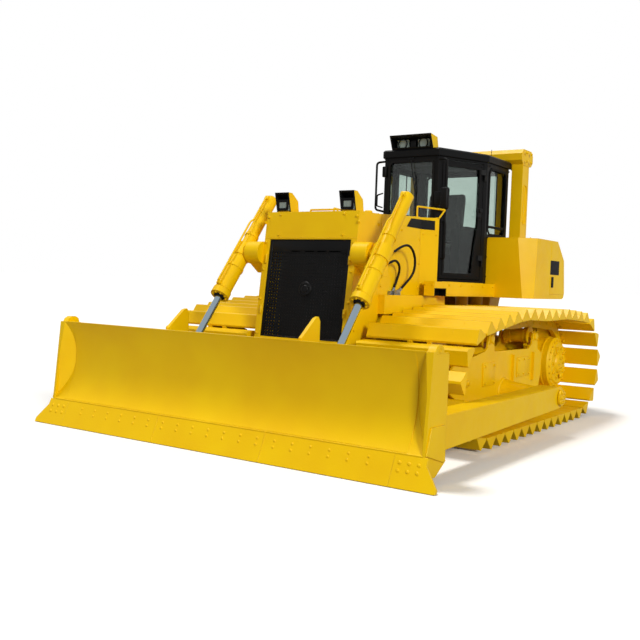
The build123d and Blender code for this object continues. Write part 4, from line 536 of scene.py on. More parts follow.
GUARD_X = TRACK_X + 0.194
TRUNNION = (0.235, 0.378)
guard = bmesh.new()
ROLLER_YS = [-0.54634 + i * (1.247 + 0.54634) / 6 for i in range(7)]
AXLE_CAP = turned([(0, 0.016), (0.030, 0.016), (0.038, 0.010), (0.040, 0.0), (0.040, -0.004)], 18)
for y in ROLLER_YS:
    stamp(guard, AXLE_CAP, facing((GUARD_X, y, 0.306), X))
    bolts(guard, [(GUARD_X, y - 0.058, 0.316), (GUARD_X, y + 0.058, 0.316)], X, 0.022)
# lips along the guard's edges, upright ribs and the inspection cover on its side
pipe(guard, [(GUARD_X, -0.52, 0.258), (GUARD_X, 1.16, 0.258)], 0.011)
block(guard, (GUARD_X - 0.002, -0.30, 0.470), (GUARD_X + 0.012, -0.02, 0.690), 0.004)
bolts(guard, [(GUARD_X + 0.012, y, z) for y in (-0.27, -0.05) for z in (0.50, 0.66)], X, 0.018)
for y in (0.42, 0.98):
    cut_plate(guard, [(y, 0.44), (y + 0.016, 0.44), (y + 0.016, 0.74), (y, 0.74)], "x",
              GUARD_X - 0.002, GUARD_X + 0.030, 0.004)
block(guard, (GUARD_X - 0.002, 0.56, 0.50), (GUARD_X + 0.010, 0.90, 0.70), 0.004)
bolts(guard, [(GUARD_X + 0.010, y, z) for y in (0.59, 0.73, 0.87) for z in (0.525, 0.675)], X, 0.016)
for y, top in ((-0.110, 0.915), (1.064, 0.905)):
    stamp(guard, AXLE_CAP, facing((GUARD_X, y, top), X, 1.1))
    bolts(guard, ring((GUARD_X, y, top), 0.062, 4, start=0.78), X, 0.014)
# weld beads that join the trunnion to the guard
stamp(guard, turned([(0.128, 0.0), (0.146, 0.0), (0.140, 0.010), (0.130, 0.014)], 40),
      facing((GUARD_X, *TRUNNION), X))
# idler bearing block with its bolts and the grease fitting of the tension cylinder
block(guard, (GUARD_X - 0.01, -1.075, 0.475), (GUARD_X + 0.045, -0.880, 0.630), 0.012)
stamp(guard, turned([(0, 0.020), (0.035, 0.020), (0.052, 0.012), (0.052, 0.0)], 24),
      facing((GUARD_X + 0.045, IDLER[0], IDLER[1]), X))
bolts(guard, [(GUARD_X + 0.045, y, z) for y in (-1.050, -0.905) for z in (0.500, 0.606)], X, 0.030)
block(guard, (GUARD_X - 0.01, -0.860, 0.500), (GUARD_X + 0.030, -0.640, 0.560), 0.006)
bolts(guard, [(GUARD_X + 0.030, y, 0.530) for y in (-0.83, -0.75, -0.67)], X, 0.020)
put(both_sides(guard), "track_frame_bolts_and_covers", paint)

# ---- push arms and blade -----------------------------------------------------------------
ARM_CAP = (1.941, *TRUNNION)
arm = bmesh.new()
bolts(arm, ring(ARM_CAP, 0.050, 6), X, 0.022)
stamp(arm, turned([(0, 0.012), (0.014, 0.012), (0.018, 0.0)], 12), facing(ARM_CAP, X))
put(both_sides(arm), "trunnion_cap_bolts", paint)
TIP, SEAM = Vector((-2.700, 0.004)), Vector((-2.600, 0.225))
DOWN_EDGE = (TIP - SEAM).normalized()
EDGE_OUT = Vector((0, DOWN_EDGE.y, -DOWN_EDGE.x))
edge = bmesh.new()


def edge_spot(x, down):
    """A spot on the cutting edge's front face, so far down from its upper seam."""
    spot = SEAM + DOWN_EDGE * down
    return Vector((x, spot.x, spot.y))


for i in range(-9, 10):
    for down in (0.055, 0.105):
        stamp(edge, PLOW_HEAD, facing(edge_spot(i * 0.168, down), EDGE_OUT, 0.011))
put(edge, "cutting_edge_plow_bolts", paint, "blade")
bits = bmesh.new()
for x in (1.762, 1.838, 1.914):
    for down in (0.060, 0.118):
        stamp(bits, PLOW_HEAD, facing(edge_spot(x, down), EDGE_OUT, 0.0135))
put(both_sides(bits), "end_bit_plow_bolts", paint, "blade")
beads = bmesh.new()
pipe(beads, [(-1.93, SEAM.x + 0.004, SEAM.y + 0.002), (1.93, SEAM.x + 0.004, SEAM.y + 0.002)], 0.007)
for x in (-0.57, 0.57):
    pipe(beads, [edge_spot(x, 0.004), edge_spot(x, 0.238)], 0.0035, sides=4)
put(beads, "cutting_edge_weld_beads", paint, "blade")
ends = bmesh.new()
# lifting eyes on the blade's upper corners, wear plates on its sides, beads along the arms
cut_plate(ends, [(-2.515, 0.925), (-2.36, 0.925), (-2.375, 0.972), (-2.405, 0.992), (-2.455, 0.992),
                 (-2.490, 0.972)], "x", 1.880, 1.945, 0.004)
stamp(ends, turned([(0.012, 0), (0.022, 0), (0.022, 0.004), (0.012, 0.004), (0.012, 0)], 20),
      facing((1.945, -2.432, 0.955), X))
cut_plate(ends, [(-2.60, 0.232), (-2.330, 0.150), (-2.330, 0.420), (-2.535, 0.420)], "x",
          1.943, 1.957, 0.004)
pipe(ends, [(1.946, -2.345, 0.16), (1.946, -2.290, 0.16)], 0.006)
pipe(ends, [(1.910, -2.388, 0.473), (1.722, -2.388, 0.473)], 0.008)
pipe(ends, [(1.918, -2.386, 0.225), (1.918, -2.386, 0.468)], 0.008)
pipe(ends, [(1.943, -2.480, 0.93), (1.943, -2.30, 0.93)], 0.004, sides=4)
put(both_sides(ends), "blade_corner_plates", paint, "blade")
eyes = bmesh.new()
for x, way in ((0.680, -X), (0.876, X)):
    stamp(eyes, turned([(0, 0.014), (0.024, 0.014), (0.030, 0.008), (0.030, 0)], 20),
          facing((x, -2.22, 0.48), way))
    block(eyes, (min(x, x + way.x * 0.012), -2.20, 0.47), (max(x, x + way.x * 0.012), -2.135, 0.492),
          0.003)
    bolts(eyes, [(x + way.x * 0.012, -2.150, 0.481)], way, 0.018)
put(both_sides(eyes), "lift_pin_keepers", paint, "blade")

# ---- lift cylinders ----------------------------------------------------------------------
CYL_TOP = Vector((0.778, -1.300, 1.660))
CYL_EYE = Vector((0.778, -2.220, 0.480))
CYL_DOWN = (CYL_EYE - CYL_TOP).normalized()
CYL_SIDE = CYL_DOWN.cross(X).normalized()
if CYL_SIDE.z > 0:
    CYL_SIDE = -CYL_SIDE
PORT = bpy.data.meshes.new("port")
block(bmesh.new(), (-0.022, -0.022, -0.02), (0.022, 0.022, 0.02), 0.005).to_mesh(PORT)
for side, hand in ((1, "left"), (-1, "right")):
    barrel = bmesh.new()
    flip = Matrix.Scale(side, 4, X)
    for at, out in ((0.44, 0.084), (-0.66, 0.066)):
        stamp(barrel, PORT, facing(CYL_TOP + CYL_DOWN * at - CYL_SIDE * out, CYL_SIDE))
    rail = [CYL_TOP + CYL_DOWN * 0.44 - CYL_SIDE * 0.112, CYL_TOP - CYL_DOWN * 0.30 - CYL_SIDE * 0.112,
            CYL_TOP - CYL_DOWN * 0.36 - CYL_SIDE * 0.085, CYL_TOP - CYL_DOWN * 0.66 - CYL_SIDE * 0.085]
    pipe(barrel, rail, 0.010, 0.03)
    stamp(barrel, turned([(0.083, 0), (0.0865, 0.003), (0.0865, 0.010), (0.083, 0.013)], 40),
          facing(CYL_TOP + CYL_DOWN * 0.462, CYL_DOWN))
    bolts(barrel, [CYL_TOP + CYL_DOWN * 0.541 + (X * math.cos(a) + CYL_SIDE * math.sin(a)) * 0.066
                   for a in [math.tau * i / 8 for i in range(8)]], CYL_DOWN, 0.016)
    for at in (-0.20, 0.20):
        stamp(barrel, turned([(0.0628 if at < 0 else 0.0828, -0.016),
                              (0.070 if at < 0 else 0.0885, -0.014),
                              (0.070 if at < 0 else 0.0885, 0.014),
                              (0.0628 if at < 0 else 0.0828, 0.016)], 32),
              facing(CYL_TOP + CYL_DOWN * at, CYL_DOWN))
    barrel.transform(flip)
    put(barrel, f"cylinder_{hand}_pipe_and_gland", paint, f"barrel_{hand}")
    seal = bmesh.new()
    stamp(seal, turned([(0.0345, 0), (0.052, 0), (0.052, 0.010), (0.044, 0.016), (0.0345, 0.016),
                        (0.0345, 0)], 32),
          facing(CYL_TOP + CYL_DOWN * 0.540, CYL_DOWN))
    seal.transform(flip)
    put(seal, f"cylinder_{hand}_wiper_seal", gasket, f"barrel_{hand}")
    knuckle = bmesh.new()
    stamp(knuckle, turned([(0.0335, -0.02), (0.042, -0.016), (0.055, 0.02), (0.058, 0.03)], 28),
          facing(CYL_EYE - CYL_DOWN * 0.075, CYL_DOWN))
    stamp(knuckle, turned([(0, 0.012), (0.005, 0.011), (0.006, 0)], 10),
          facing(CYL_EYE - CYL_SIDE * 0.066, -CYL_SIDE))
    knuckle.transform(flip)
    put(knuckle, f"cylinder_{hand}_rod_knuckle", paint, f"rod_{hand}")

# ---- blade: one smooth skin over the bowl, which the ribs' straight edges poke a few mm through ----
BOWL_MIDDLE, BOWL_RADIUS = (-3.0995, 0.6370), 0.6475
SKIN, SKIN_HALF = 0.0068, 1.800
SKIN_FOOT, SKIN_HEAD = 0.234, 0.936


def bowl_spot(x, height, lift):
    """A point so far in front of the mouldboard's face."""
    reach = math.sqrt((BOWL_RADIUS - lift) ** 2 - (height - BOWL_MIDDLE[1]) ** 2)
    return (x, BOWL_MIDDLE[0] + reach, height)


skin = bmesh.new()
fronts = [(SKIN_FOOT + (SKIN_HEAD - SKIN_FOOT) * step / 32, 0.0005 + SKIN * math.sin(math.pi * step / 32))
          for step in range(33)]
round_trip = fronts + [(height, -0.003) for height, lift in reversed(fronts)]
ends = [[skin.verts.new(bowl_spot(x, height, lift)) for height, lift in round_trip]
        for x in (-SKIN_HALF, SKIN_HALF)]
for k in range(len(round_trip)):
    n = (k + 1) % len(round_trip)
    skin.faces.new((ends[0][k], ends[1][k], ends[1][n], ends[0][n]))
for k in range(32):
    m = len(round_trip) - 1 - k
    for end in ends:
        skin.faces.new((end[k], end[k + 1], end[m - 1], end[m]))
put(skin, "mouldboard_skin", paint, "blade")

# ---- cowl, its badge plates and the decks beside it ----------------------------------------
HOOD_HALF, COWL_HALF, NECK = 0.52, 0.60, 0.345
COWL_Y, BEND_Y, COWL_REAR = -0.08, 0.16, 0.47


def hood_z(y):
    return 2.05 + 0.06 * (y + 0.88) / 1.35


cowl = bmesh.new()
plan = [(HOOD_HALF, COWL_Y), (COWL_HALF, BEND_Y), (NECK, BEND_Y), (NECK, COWL_REAR)]
plan = [(-x, y) for x, y in plan] + plan[::-1]
cut_plate(cowl, plan, "z", 1.30, 2.2)
for v in cowl.verts:
    if v.co.z > 2:
        v.co.z = hood_z(v.co.y)
bmesh.ops.recalc_face_normals(cowl, faces=cowl.faces)
gone = [f for f in cowl.faces if f.normal.z < -0.9 or (f.normal.y < -0.9 and f.calc_center_median().y < 0)]
bmesh.ops.delete(cowl, geom=gone, context="FACES")
bmesh.ops.solidify(cowl, geom=cowl.faces[:], thickness=0.024)
for side in (1, -1):
    top = hood_z(COWL_Y)
    pipe(cowl, [(side * 0.500, -0.14, top - 0.02), (side * 0.500, -0.14, top + 0.105),
                (side * 0.590, 0.30, top + 0.105), (side * 0.588, 0.146, top - 0.012)], 0.0095, 0.03, 8)
    for spot in ((side * 0.500, -0.14, hood_z(-0.14)), (side * 0.584, 0.15, hood_z(0.15))):
        stamp(cowl, turned([(0.012, 0.004), (0.022, 0.004), (0.024, 0.0)], 16), facing(spot, Z))
    flare = (Vector((side * COWL_HALF, BEND_Y, 0)) - Vector((side * HOOD_HALF, COWL_Y, 0))).normalized()
    out = Vector((side * -flare.y, side * flare.x, 0)) * -1
    for z in (1.42, 1.92):
        bolts(cowl, [Vector((side * HOOD_HALF, COWL_Y, z)) + flare * d for d in (0.03, 0.215)], out, 0.014)
piece = put(cowl, "cowl_and_grab_handles", paint)
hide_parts("cowl")

decks = bmesh.new()
for side in (1, -1):
    slab(decks, side, (0.3505, 0.6030), (0.1655, 0.4690), (1.301, 1.4445))
    # plate that closes the platform's front, with its screws
    slab(decks, side, (0.604, 0.719), (-0.1295, -0.1245), (1.381, 1.444))
    slab(decks, side, (0.6045, 0.7190), (-0.1295, -0.1245), (1.3005, 1.3808))
    bolts(decks, [(side * x, -0.1295, 1.412) for x in (0.625, 0.700)], -Y, 0.012)
    # screws down the deck's edge, the joint line under it and its tread bars
    bolts(decks, [(side * 0.72, y, 1.412) for y in (0.20, 0.48, 0.76, 1.04, 1.32)], X * side, 0.016)
    for i in range(11):
        y = 0.20 + i * 0.085
        pipe(decks, [(side * 0.638, y, 1.4465), (side * 0.700, y + 0.035, 1.4465)], 0.0030, sides=4)
    slab(decks, side, (0.719, 0.724), (0.150, 1.370), (1.318, 1.326))
put(decks, "deck_fillers_and_treads", paint)

# black sheets lining the step recess: painted shade, standing for the shadow deep inside the recess
recess = bmesh.new()
for side in (1, -1):
    for x0, x1, y0, y1, z0, z1 in ((0.606, 0.640, -0.1235, 0.1385, 1.3015, 1.3775),
                                   (0.640, 0.7185, -0.1235, 0.1385, 1.3700, 1.3775),
                                   (0.640, 0.7185, -0.1235, -0.1185, 1.3015, 1.3700),
                                   (0.640, 0.7185, 0.1335, 0.1385, 1.3015, 1.3700)):
        slab(recess, side, (x0, x1), (y0, y1), (z0, z1))
put(recess, "step_recess_painted_shade_lining", black_coat)

badge = bmesh.new()
for side in (1, -1):
    a, b = sorted((side * 0.5202, side * 0.5235))
    cut_plate(badge, [(-0.384, 1.972), (-0.0801, 1.968), (-0.0801, 2.062), (-0.300, 2.058)], "x", a, b)
    low, high = 1.968, 2.062
    start, end = Vector((side * 0.5218, -0.0800, 0)), Vector((side * 0.5815, 0.0990, 0))
    run = (end - start).normalized()
    away = Vector((abs(run.y) * side, -abs(run.x), 0)) * 0.0030
    corners = [start + Z * low, end + Z * low, end + Z * high, start + Z * high]
    rows = [[badge.verts.new(c + away * k) for c in corners] for k in (0, 1)]
    badge.faces.new(rows[0])
    badge.faces.new(rows[1])
    for i in range(4):
        j = (i + 1) % 4
        badge.faces.new([rows[0][i], rows[0][j], rows[1][j], rows[1][i]])


def box_side(y, z):
    """How far out the side box's outer wall stands; behind it the tank's wall is flat."""
    t = (z - 1.295) / 0.68
    corner_x, corner_y = 1.051 - 0.079 * t, 1.48 + 0.048 * t
    return min(1.15, corner_x + (1.15 - corner_x) * (y - corner_y) / (1.99 - corner_y))


def side_sheet(bm, side, ys, zs, lift, thick):
    """A thin plate that follows the side box and the tank, between rows of y and z."""
    for k in (0, 1):
        grid = [[bm.verts.new((side * (box_side(y, z) + lift + thick * k), y, z)) for z in zs] for y in ys]
        for i in range(len(ys) - 1):
            for j in range(len(zs) - 1):
                bm.faces.new([grid[i][j], grid[i + 1][j], grid[i + 1][j + 1], grid[i][j + 1]])
        if k:
            for row, old in ((grid[0], first[0]), (grid[-1], first[-1]),
                             ([g[0] for g in grid], [g[0] for g in first]),
                             ([g[-1] for g in grid], [g[-1] for g in first])):
                for a, b in zip(range(len(row) - 1), range(1, len(row))):
                    bm.faces.new([old[a], old[b], row[b], row[a]])
        first = grid


for side in (1, -1):
    side_sheet(badge, side, [1.73, 1.99, 2.27], [1.580, 1.745], 0.0005, 0.003)
put(badge, "bare_name_plates", plastic)

# ---- lift rods' ground faces ---------------------------------------------------------------
for side, hand in ((1, "left"), (-1, "right")):
    ground = bmesh.new()
    stamp(ground, turned([(0.0326, -0.88), (0.03325, -0.88), (0.03325, -0.10), (0.0326, -0.10)], 72),
          facing(CYL_EYE, CYL_DOWN))
    ground.transform(Matrix.Scale(side, 4, X))
    put(ground, f"cylinder_{hand}_rod_face", chrome, f"rod_{hand}")

# ---- roof and hood lamps -------------------------------------------------------------------
dark = bmesh.new()
for x0, x1 in ((-0.2555, -0.2385), (0.2385, 0.2555)):
    cut_plate(dark, [(0.6265, 2.901), (0.5565, 3.0505), (0.563, 3.0505), (0.633, 2.901)], "x", x0, x1)
    cut_plate(dark, [(0.629, 2.9125), (0.7135, 2.9125), (0.7000, 3.0175), (0.567, 3.0330)], "x",
              *((-0.2428, -0.2388) if x0 < 0 else (0.2388, 0.2428)))
cut_plate(dark, [(0.5565, 3.0505), (0.563, 3.0505), (0.573, 3.030), (0.5665, 3.030)], "x", -0.239, 0.239)
cut_plate(dark, [(0.6165, 2.9215), (0.6265, 2.901), (0.633, 2.901), (0.623, 2.9215)], "x", -0.239, 0.239)
cut_plate(dark, [(0.566, 3.0330), (0.7000, 3.0175), (0.6980, 3.0135), (0.567, 3.0290)], "x", -0.239, 0.239)
cut_plate(dark, [(0.7135, 2.913), (0.7005, 3.017), (0.6965, 3.017), (0.7095, 2.913)], "x", -0.239, 0.239)
block(dark, (-0.239, 0.625, 2.9122), (0.239, 0.712, 2.9150))
for x in (-0.1275, 0.1275):
    stamp(dark, turned([(0.0500, 0), (0.0560, 0), (0.0560, 0.018), (0.0500, 0.018), (0.0500, 0)], 28),
          facing((x, 0.6440, 2.962), -Y))
    block(dark, (x - 0.078, 0.676, 2.9130), (x + 0.078, 0.694, 3.0140), 0.003)
block(dark, (-0.030, 0.640, 2.9130), (0.030, 0.700, 3.0020), 0.004)
put(dark, "roof_lamp_housing", black_coat)

LAMP_X, WALL = (0.285, 0.445), 0.012
SHELL = [(-1.210, 2.050), (-1.075, 2.050), (-1.095, 2.165), (-1.195, 2.235), (-1.255, 2.235)]
HOLLOW = [(-1.2105, 2.064), (-1.118, 2.064), (-1.130, 2.150), (-1.202, 2.2225), (-1.2485, 2.2225)]
shells, liners = bmesh.new(), bmesh.new()
for side in (1, -1):
    low, high = sorted((side * LAMP_X[0], side * LAMP_X[1]))
    cut_plate(shells, SHELL, "x", low, low + WALL)
    cut_plate(shells, SHELL, "x", high - WALL, high)
    walls = list(zip(SHELL, HOLLOW))
    for (a, inner_a), (b, inner_b) in zip(walls, walls[1:]):
        cut_plate(shells, [a, b, inner_b, inner_a], "x", low + WALL, high - WALL)
    for x0 in (low + WALL, high - WALL - 0.004):
        cut_plate(liners, HOLLOW, "x", x0, x0 + 0.004)
    middle = Vector((-1.19, 2.13))
    for a, b in zip(HOLLOW, HOLLOW[1:]):
        a, b = Vector(a), Vector(b)
        cut_plate(liners, [a, b, b + (middle - b) * 0.05, a + (middle - a) * 0.05], "x",
                  low + WALL + 0.004, high - WALL - 0.004)
    # the black front edge, the lamp's holder and its bracket
    for x0 in (low - 0.0005, high - WALL - 0.0005):
        cut_plate(liners, [(-1.2125, 2.050), (-1.2575, 2.2355), (-1.2515, 2.2355), (-1.2065, 2.050)], "x",
                  x0, x0 + WALL + 0.001)
    cut_plate(liners, [(-1.2575, 2.2355), (-1.2515, 2.2355), (-1.2480, 2.2215), (-1.2540, 2.2215)], "x",
              low + WALL, high - WALL)
    block(liners, (low + 0.016, -1.196, 2.066), (high - 0.016, -1.160, 2.168), 0.004)
    bezel = frame_of(rectangle(0.134, 0.104, 0.012, (0, 2.118)), 0.024, 0.005)
    join(liners, bezel, facing((side * 0.365, -1.2305, 0), -Y))
    bolts(shells, [(side * x, -1.0772, 2.085) for x in (0.315, 0.415)], Y, 0.014)
piece = put(shells, "hood_lamp_shells", paint)
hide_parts("lamp_boxes")
put(liners, "hood_lamp_liners", black_coat)

# ---- grille, guard ------------------------------------------------------------------------
GUARD_FOOT, GUARD_UP = Vector((0, -1.415, 0.82)), Vector((0, 0.155, 1.23)).normalized()
GUARD_OUT = Vector((0, -GUARD_UP.z, GUARD_UP.y))


def on_guard(x, z, lift=0.0):
    """A spot on the guard's leaning front face at a height z, lifted off it."""
    return GUARD_FOOT + X * x + GUARD_UP * ((z - 0.82) / GUARD_UP.z) + GUARD_OUT * lift


def lean(bm, lift):
    """Stands a flat mesh, drawn as (x, z on the guard, thickness), on the guard's face."""
    for v in bm.verts:
        v.co = on_guard(v.co.x, v.co.y, v.co.z + lift)


HOLE, STEP, ACROSS, UP = 0.013, 0.0305, 28, 26
net = bmesh.new()
bmesh.ops.create_grid(net, x_segments=ACROSS, y_segments=UP, size=0.5)
for v in net.verts:
    v.co.x *= ACROSS * STEP
    v.co.y = (v.co.y + 0.5) * UP * STEP + 0.882
cells = net.faces[:]
bmesh.ops.inset_individual(net, faces=cells, thickness=(STEP - HOLE) / 2, use_even_offset=True)
corners = [v for face in cells for v in face.verts]
bmesh.ops.bevel(net, geom=corners, offset=HOLE * 0.27, segments=1, profile=0.5, affect="VERTICES",
                material=-1)
holes = [f for f in net.faces if len(f.verts) == 8 and f.calc_area() < HOLE * HOLE]
bmesh.ops.delete(net, geom=holes, context="FACES")
bmesh.ops.solidify(net, geom=net.faces[:], thickness=0.003)
NET_TOP = 0.882 + UP * STEP
block(net, (-0.4575, 0.8705, -0.006), (0.4575, 0.8835, 0.008))
for x0, x1 in ((-0.4575, -0.4265), (0.4265, 0.4575)):
    block(net, (x0, 0.8705, -0.006), (x1, 1.7895, 0.008), 0.002)
block(net, (-0.4575, NET_TOP + 0.010, -0.004), (0.4575, 1.7895, 0.004), 0.002)
for x0, x1 in ((-0.4575, -0.204), (-0.100, -0.050), (0.060, 0.090), (0.190, 0.220), (0.350, 0.4575)):
    block(net, (x0, NET_TOP - 0.002, -0.003), (x1, NET_TOP + 0.012, 0.003))
for x in (-0.30, 0.30):
    block(net, (x - 0.010, 0.8835, -0.012), (x + 0.010, NET_TOP, -0.003))
stamp(net, turned([(0, 0.016), (0.030, 0.016), (0.036, 0.010), (0.062, 0.010), (0.070, 0.004),
                   (0.070, 0)], 32),
      Matrix.Translation((0.0, 1.33, 0.0)))
bolts(net, [(0.048 * math.cos(a), 1.33 + 0.048 * math.sin(a), 0.010) for a in (0.4, 1.97, 3.54, 5.11)],
      Z, 0.012)
lean(net, -0.018)
piece = put(net, "perforated_grille", black_coat)
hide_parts("grille")

latches = bmesh.new()
for z in (1.60, 1.12):
    block(latches, (0.452, z - 0.040, -0.001), (0.482, z + 0.040, 0.010), 0.004)
    stamp(latches, turned([(0, 0.040), (0.008, 0.040), (0.010, 0.036), (0.010, -0.040),
                           (0.008, -0.044), (0, -0.044)], 14),
          Matrix.Translation((-0.470, z, 0.010)) @ Matrix.Rotation(math.pi / 2, 4, "X"))
    block(latches, (-0.498, z - 0.030, -0.001), (-0.470, z + 0.030, 0.007), 0.003)
for x in (-0.495, 0.495):
    bolts(latches, [(x, z, 0.0) for z in (0.90, 1.22, 1.50, 1.76, 2.00)], Z, 0.018)
bolts(latches, [(x, 1.83, 0.0) for x in (-0.36, 0.36)] + [(x, 2.02, 0.0) for x in (-0.36, 0.36)], Z, 0.014)
pipe(latches, [(-0.515, 1.805, 0.0), (0.515, 1.805, 0.0)], 0.0025, sides=4)
bolts(latches, [(0.470, z, 0.010) for z in (1.60, 1.12)], Z, 0.014)
lean(latches, 0.0)
for side in (1, -1):
    bolts(latches, [(side * 0.52, y, z) for y, z in ((-1.28, 1.95), (-0.92, 1.95), (-0.92, 1.45),
                                                     (-0.92, 0.98), (-1.30, 0.98))],
          X * side, 0.020)
pipe(latches, [(-0.060, -1.20, 2.046), (-0.060, -1.20, 2.070), (0.240, -1.20, 2.070), (0.240, -1.20, 2.046)],
     0.009, 0.012, 8)
put(latches, "guard_hinges_latches_and_rail", paint)

# ---- hood: seams, latches and screws ---------------------------------------------------------
trim = bmesh.new()
for side in (1, -1):
    for y in (-0.872, -0.088):
        pipe(trim, [(side * 0.5205, y, 1.31), (side * 0.5205, y, hood_z(y) - 0.01)], 0.0030, sides=4)
    pipe(trim, [(side * 0.505, -0.87, hood_z(-0.87) + 0.001), (side * 0.505, -0.09, hood_z(-0.09) + 0.001)],
         0.0035, sides=4)
    bolts(trim, [(side * 0.52, y, z) for y in (-0.85, -0.11) for z in (1.38, 1.62, 1.86)]
          + [(side * 0.52, -0.48, 1.93)], X * side, 0.016)
    bolts(trim, [(side * 0.46, y, hood_z(y)) for y in (-0.84, -0.60, -0.36, -0.12)], Z, 0.014)
stamp(trim, turned([(0, 0.050), (0.030, 0.050), (0.040, 0.040), (0.040, 0.012), (0.055, 0.008),
                    (0.055, 0.0)], 24),
      facing((0.22, -0.62, hood_z(-0.62)), Z))
put(trim, "hood_seams_and_screws", paint)

# ---- cab: gaskets, door handles, roof, wiper ---------------------------------------------------
WALL_RUN = Vector((0.3691, 0.9294, 0)).normalized()
WALL_OUT = Vector((0.9294, -0.3691, 0)).normalized()
WALL_FOOT = Vector((0.335, 0.62, 0))


def door_place(side):
    """Matrix from (along the door, up, out) to the object's frame, mirrored on the right side."""
    turn = Matrix((WALL_RUN, Z, WALL_OUT)).transposed().to_4x4()
    return Matrix.Scale(side, 4, X) @ Matrix.Translation(WALL_FOOT) @ turn


for side, hand in ((1, "left"), (-1, "right")):
    body = f"door_{hand}"
    seal = frame_of([(0.106, 1.526), (0.558, 1.526), (0.6316, 2.118), (0.6316, 2.737), (0.106, 2.737)],
                    0.022, 0.007)
    seal.transform(door_place(side))
    put(seal, f"{body}_glass_seal", gasket, body)
    furniture = bmesh.new()
    block(furniture, (0.600, 2.160, 0.000), (0.655, 2.290, 0.016), 0.006)
    stamp(furniture, turned([(0, 0.030), (0.020, 0.030), (0.024, 0.026), (0.024, 0.0)], 20),
          Matrix.Translation((0.628, 2.262, 0.010)))
    block(furniture, (0.580, 2.185, 0.022), (0.640, 2.205, 0.036), 0.005)
    pipe(furniture, [(0.088, 1.70, 0.0), (0.088, 1.70, 0.050), (0.088, 2.10, 0.050), (0.088, 2.10, 0.0)],
         0.009, 0.03, 8)
    bolts(furniture, [(a, z, 0.0) for a in (0.092, 0.6457) for z in (1.512, 2.752)], Z, 0.012)
    furniture.transform(door_place(side))
    put(furniture, f"{body}_handle", plastic, body)

seals = bmesh.new()
screen = frame_of(rectangle(0.574, 1.233, 0.04, (0, 2.1625)), 0.026, 0.007)
join(seals, screen, facing((0, 0.6195, 0), -Y))
rear = frame_of(rectangle(0.966, 1.081, 0.04, (0, 2.2275)), 0.026, 0.007)
join(seals, rear, facing((0, 1.9255, 0), Y))
for side in (1, -1):
    pane = frame_of(rectangle(0.511, 0.771, 0.055, (0, 2.3825)), 0.024, 0.008)
    join(seals, pane, facing((side * 0.6055, 1.6125, 0), X * side))
    # sliding pane's rail and its catch
    a, b = sorted((side * 0.590, side * 0.602))
    block(seals, (a, 1.372, 2.085), (b, 1.853, 2.113), 0.003)
    block(seals, (a, 1.600, 2.120), (b, 1.612, 2.750), 0.002)
put(seals, "window_seals", gasket)

fittings = bmesh.new()
for side in (1, -1):
    # rounded housing at the left front corner, small loop and bracket at the right one
    if side > 0:
        block(fittings, (0.392, 0.560, 2.225), (0.482, 0.630, 2.465), 0.024, 4)
        block(fittings, (0.300, 0.600, 2.270), (0.400, 0.621, 2.420), 0.008)
    else:
        pipe(fittings, [(-0.338, 0.600, 2.26), (-0.405, 0.590, 2.28), (-0.405, 0.590, 2.40),
                        (-0.338, 0.600, 2.42)], 0.008, 0.03, 8)
        block(fittings, (-0.352, 0.585, 2.60), (-0.300, 0.622, 2.72), 0.012, 3)
    bolts(fittings, [(side * 0.617, y, z) for y in (1.34, 1.89) for z in (1.53, 1.75, 1.97, 2.78)],
          X * side, 0.014)
    bolts(fittings, [(side * 0.300, 0.6195, z) for z in (1.50, 2.79)], -Y, 0.012)
# roof: pressed ribs, drip rail, aerial base and rear vents
for x in (-0.42, -0.21, 0.0, 0.21, 0.42):
    block(fittings, (x - 0.022, 0.90 + abs(x) * 0.6, 2.897), (x + 0.022, 1.82, 2.9065), 0.004)
block(fittings, (-0.18, 1.20, 2.9005), (0.18, 1.62, 2.930), 0.012, 3)
stamp(fittings, turned([(0, 0.030), (0.012, 0.030), (0.020, 0.010), (0.024, 0.0)], 16),
      facing((0.40, 1.86, 2.90), Z))
pipe(fittings, [(0.40, 1.86, 2.92), (0.40, 1.87, 3.05)], 0.003, sides=6)
# wiper with its motor cover
block(fittings, (-0.035, 0.604, 2.768), (0.035, 0.622, 2.806), 0.006)
pipe(fittings, [(0.0, 0.606, 2.775), (0.055, 0.610, 2.46), (0.060, 0.618, 2.42)], 0.006, sides=6)
pipe(fittings, [(0.052, 0.628, 2.62), (0.066, 0.628, 2.14)], 0.006, sides=6)
put(fittings, "cab_fittings", black_coat)

# ---- roll-over frame ---------------------------------------------------------------------------
rops = bmesh.new()
for side in (1, -1):
    rim = frame_of(rectangle(0.112, 0.474, 0.036, (0, 2.407)), 0.011, 0.008)
    join(rops, rim, facing((side * 0.7495, 2.098, 0), X * side))
    bolts(rops, [(side * x, y, 2.000) for x in (0.596, 0.766) for y in (2.020, 2.165)], Z, 0.020)
    bolts(rops, [(side * 0.78, y, z) for y in (2.03, 2.17) for z in (2.915, 3.015)], X * side, 0.022)
    pipe(rops, [(side * 0.752, 2.004, 2.872), (side * 0.752, 2.192, 2.872)], 0.006)
put(rops, "rops_rims_and_bolts", paint)

# ---- side boxes and fuel tank --------------------------------------------------------------------
boxes = bmesh.new()


def box_front(side, x, z, lift):
    """A spot on the side box's front wall."""
    t = (z - 1.295) / 0.68
    slope = (0.10 + 0.048 * t) / (0.446 - 0.079 * t)
    return Vector((side * x, 1.38 + slope * (x - 0.605) - lift, z))


def front_seam(side, corners, radius=0.0028):
    """Thin beads round a closed outline of (x, z) on the side box's front wall."""
    spots = [box_front(side, x, z, 0.001) for x, z in corners + corners[:1]]
    for a, b in zip(spots, spots[1:]):
        pipe(boxes, [a, b], radius, sides=4)


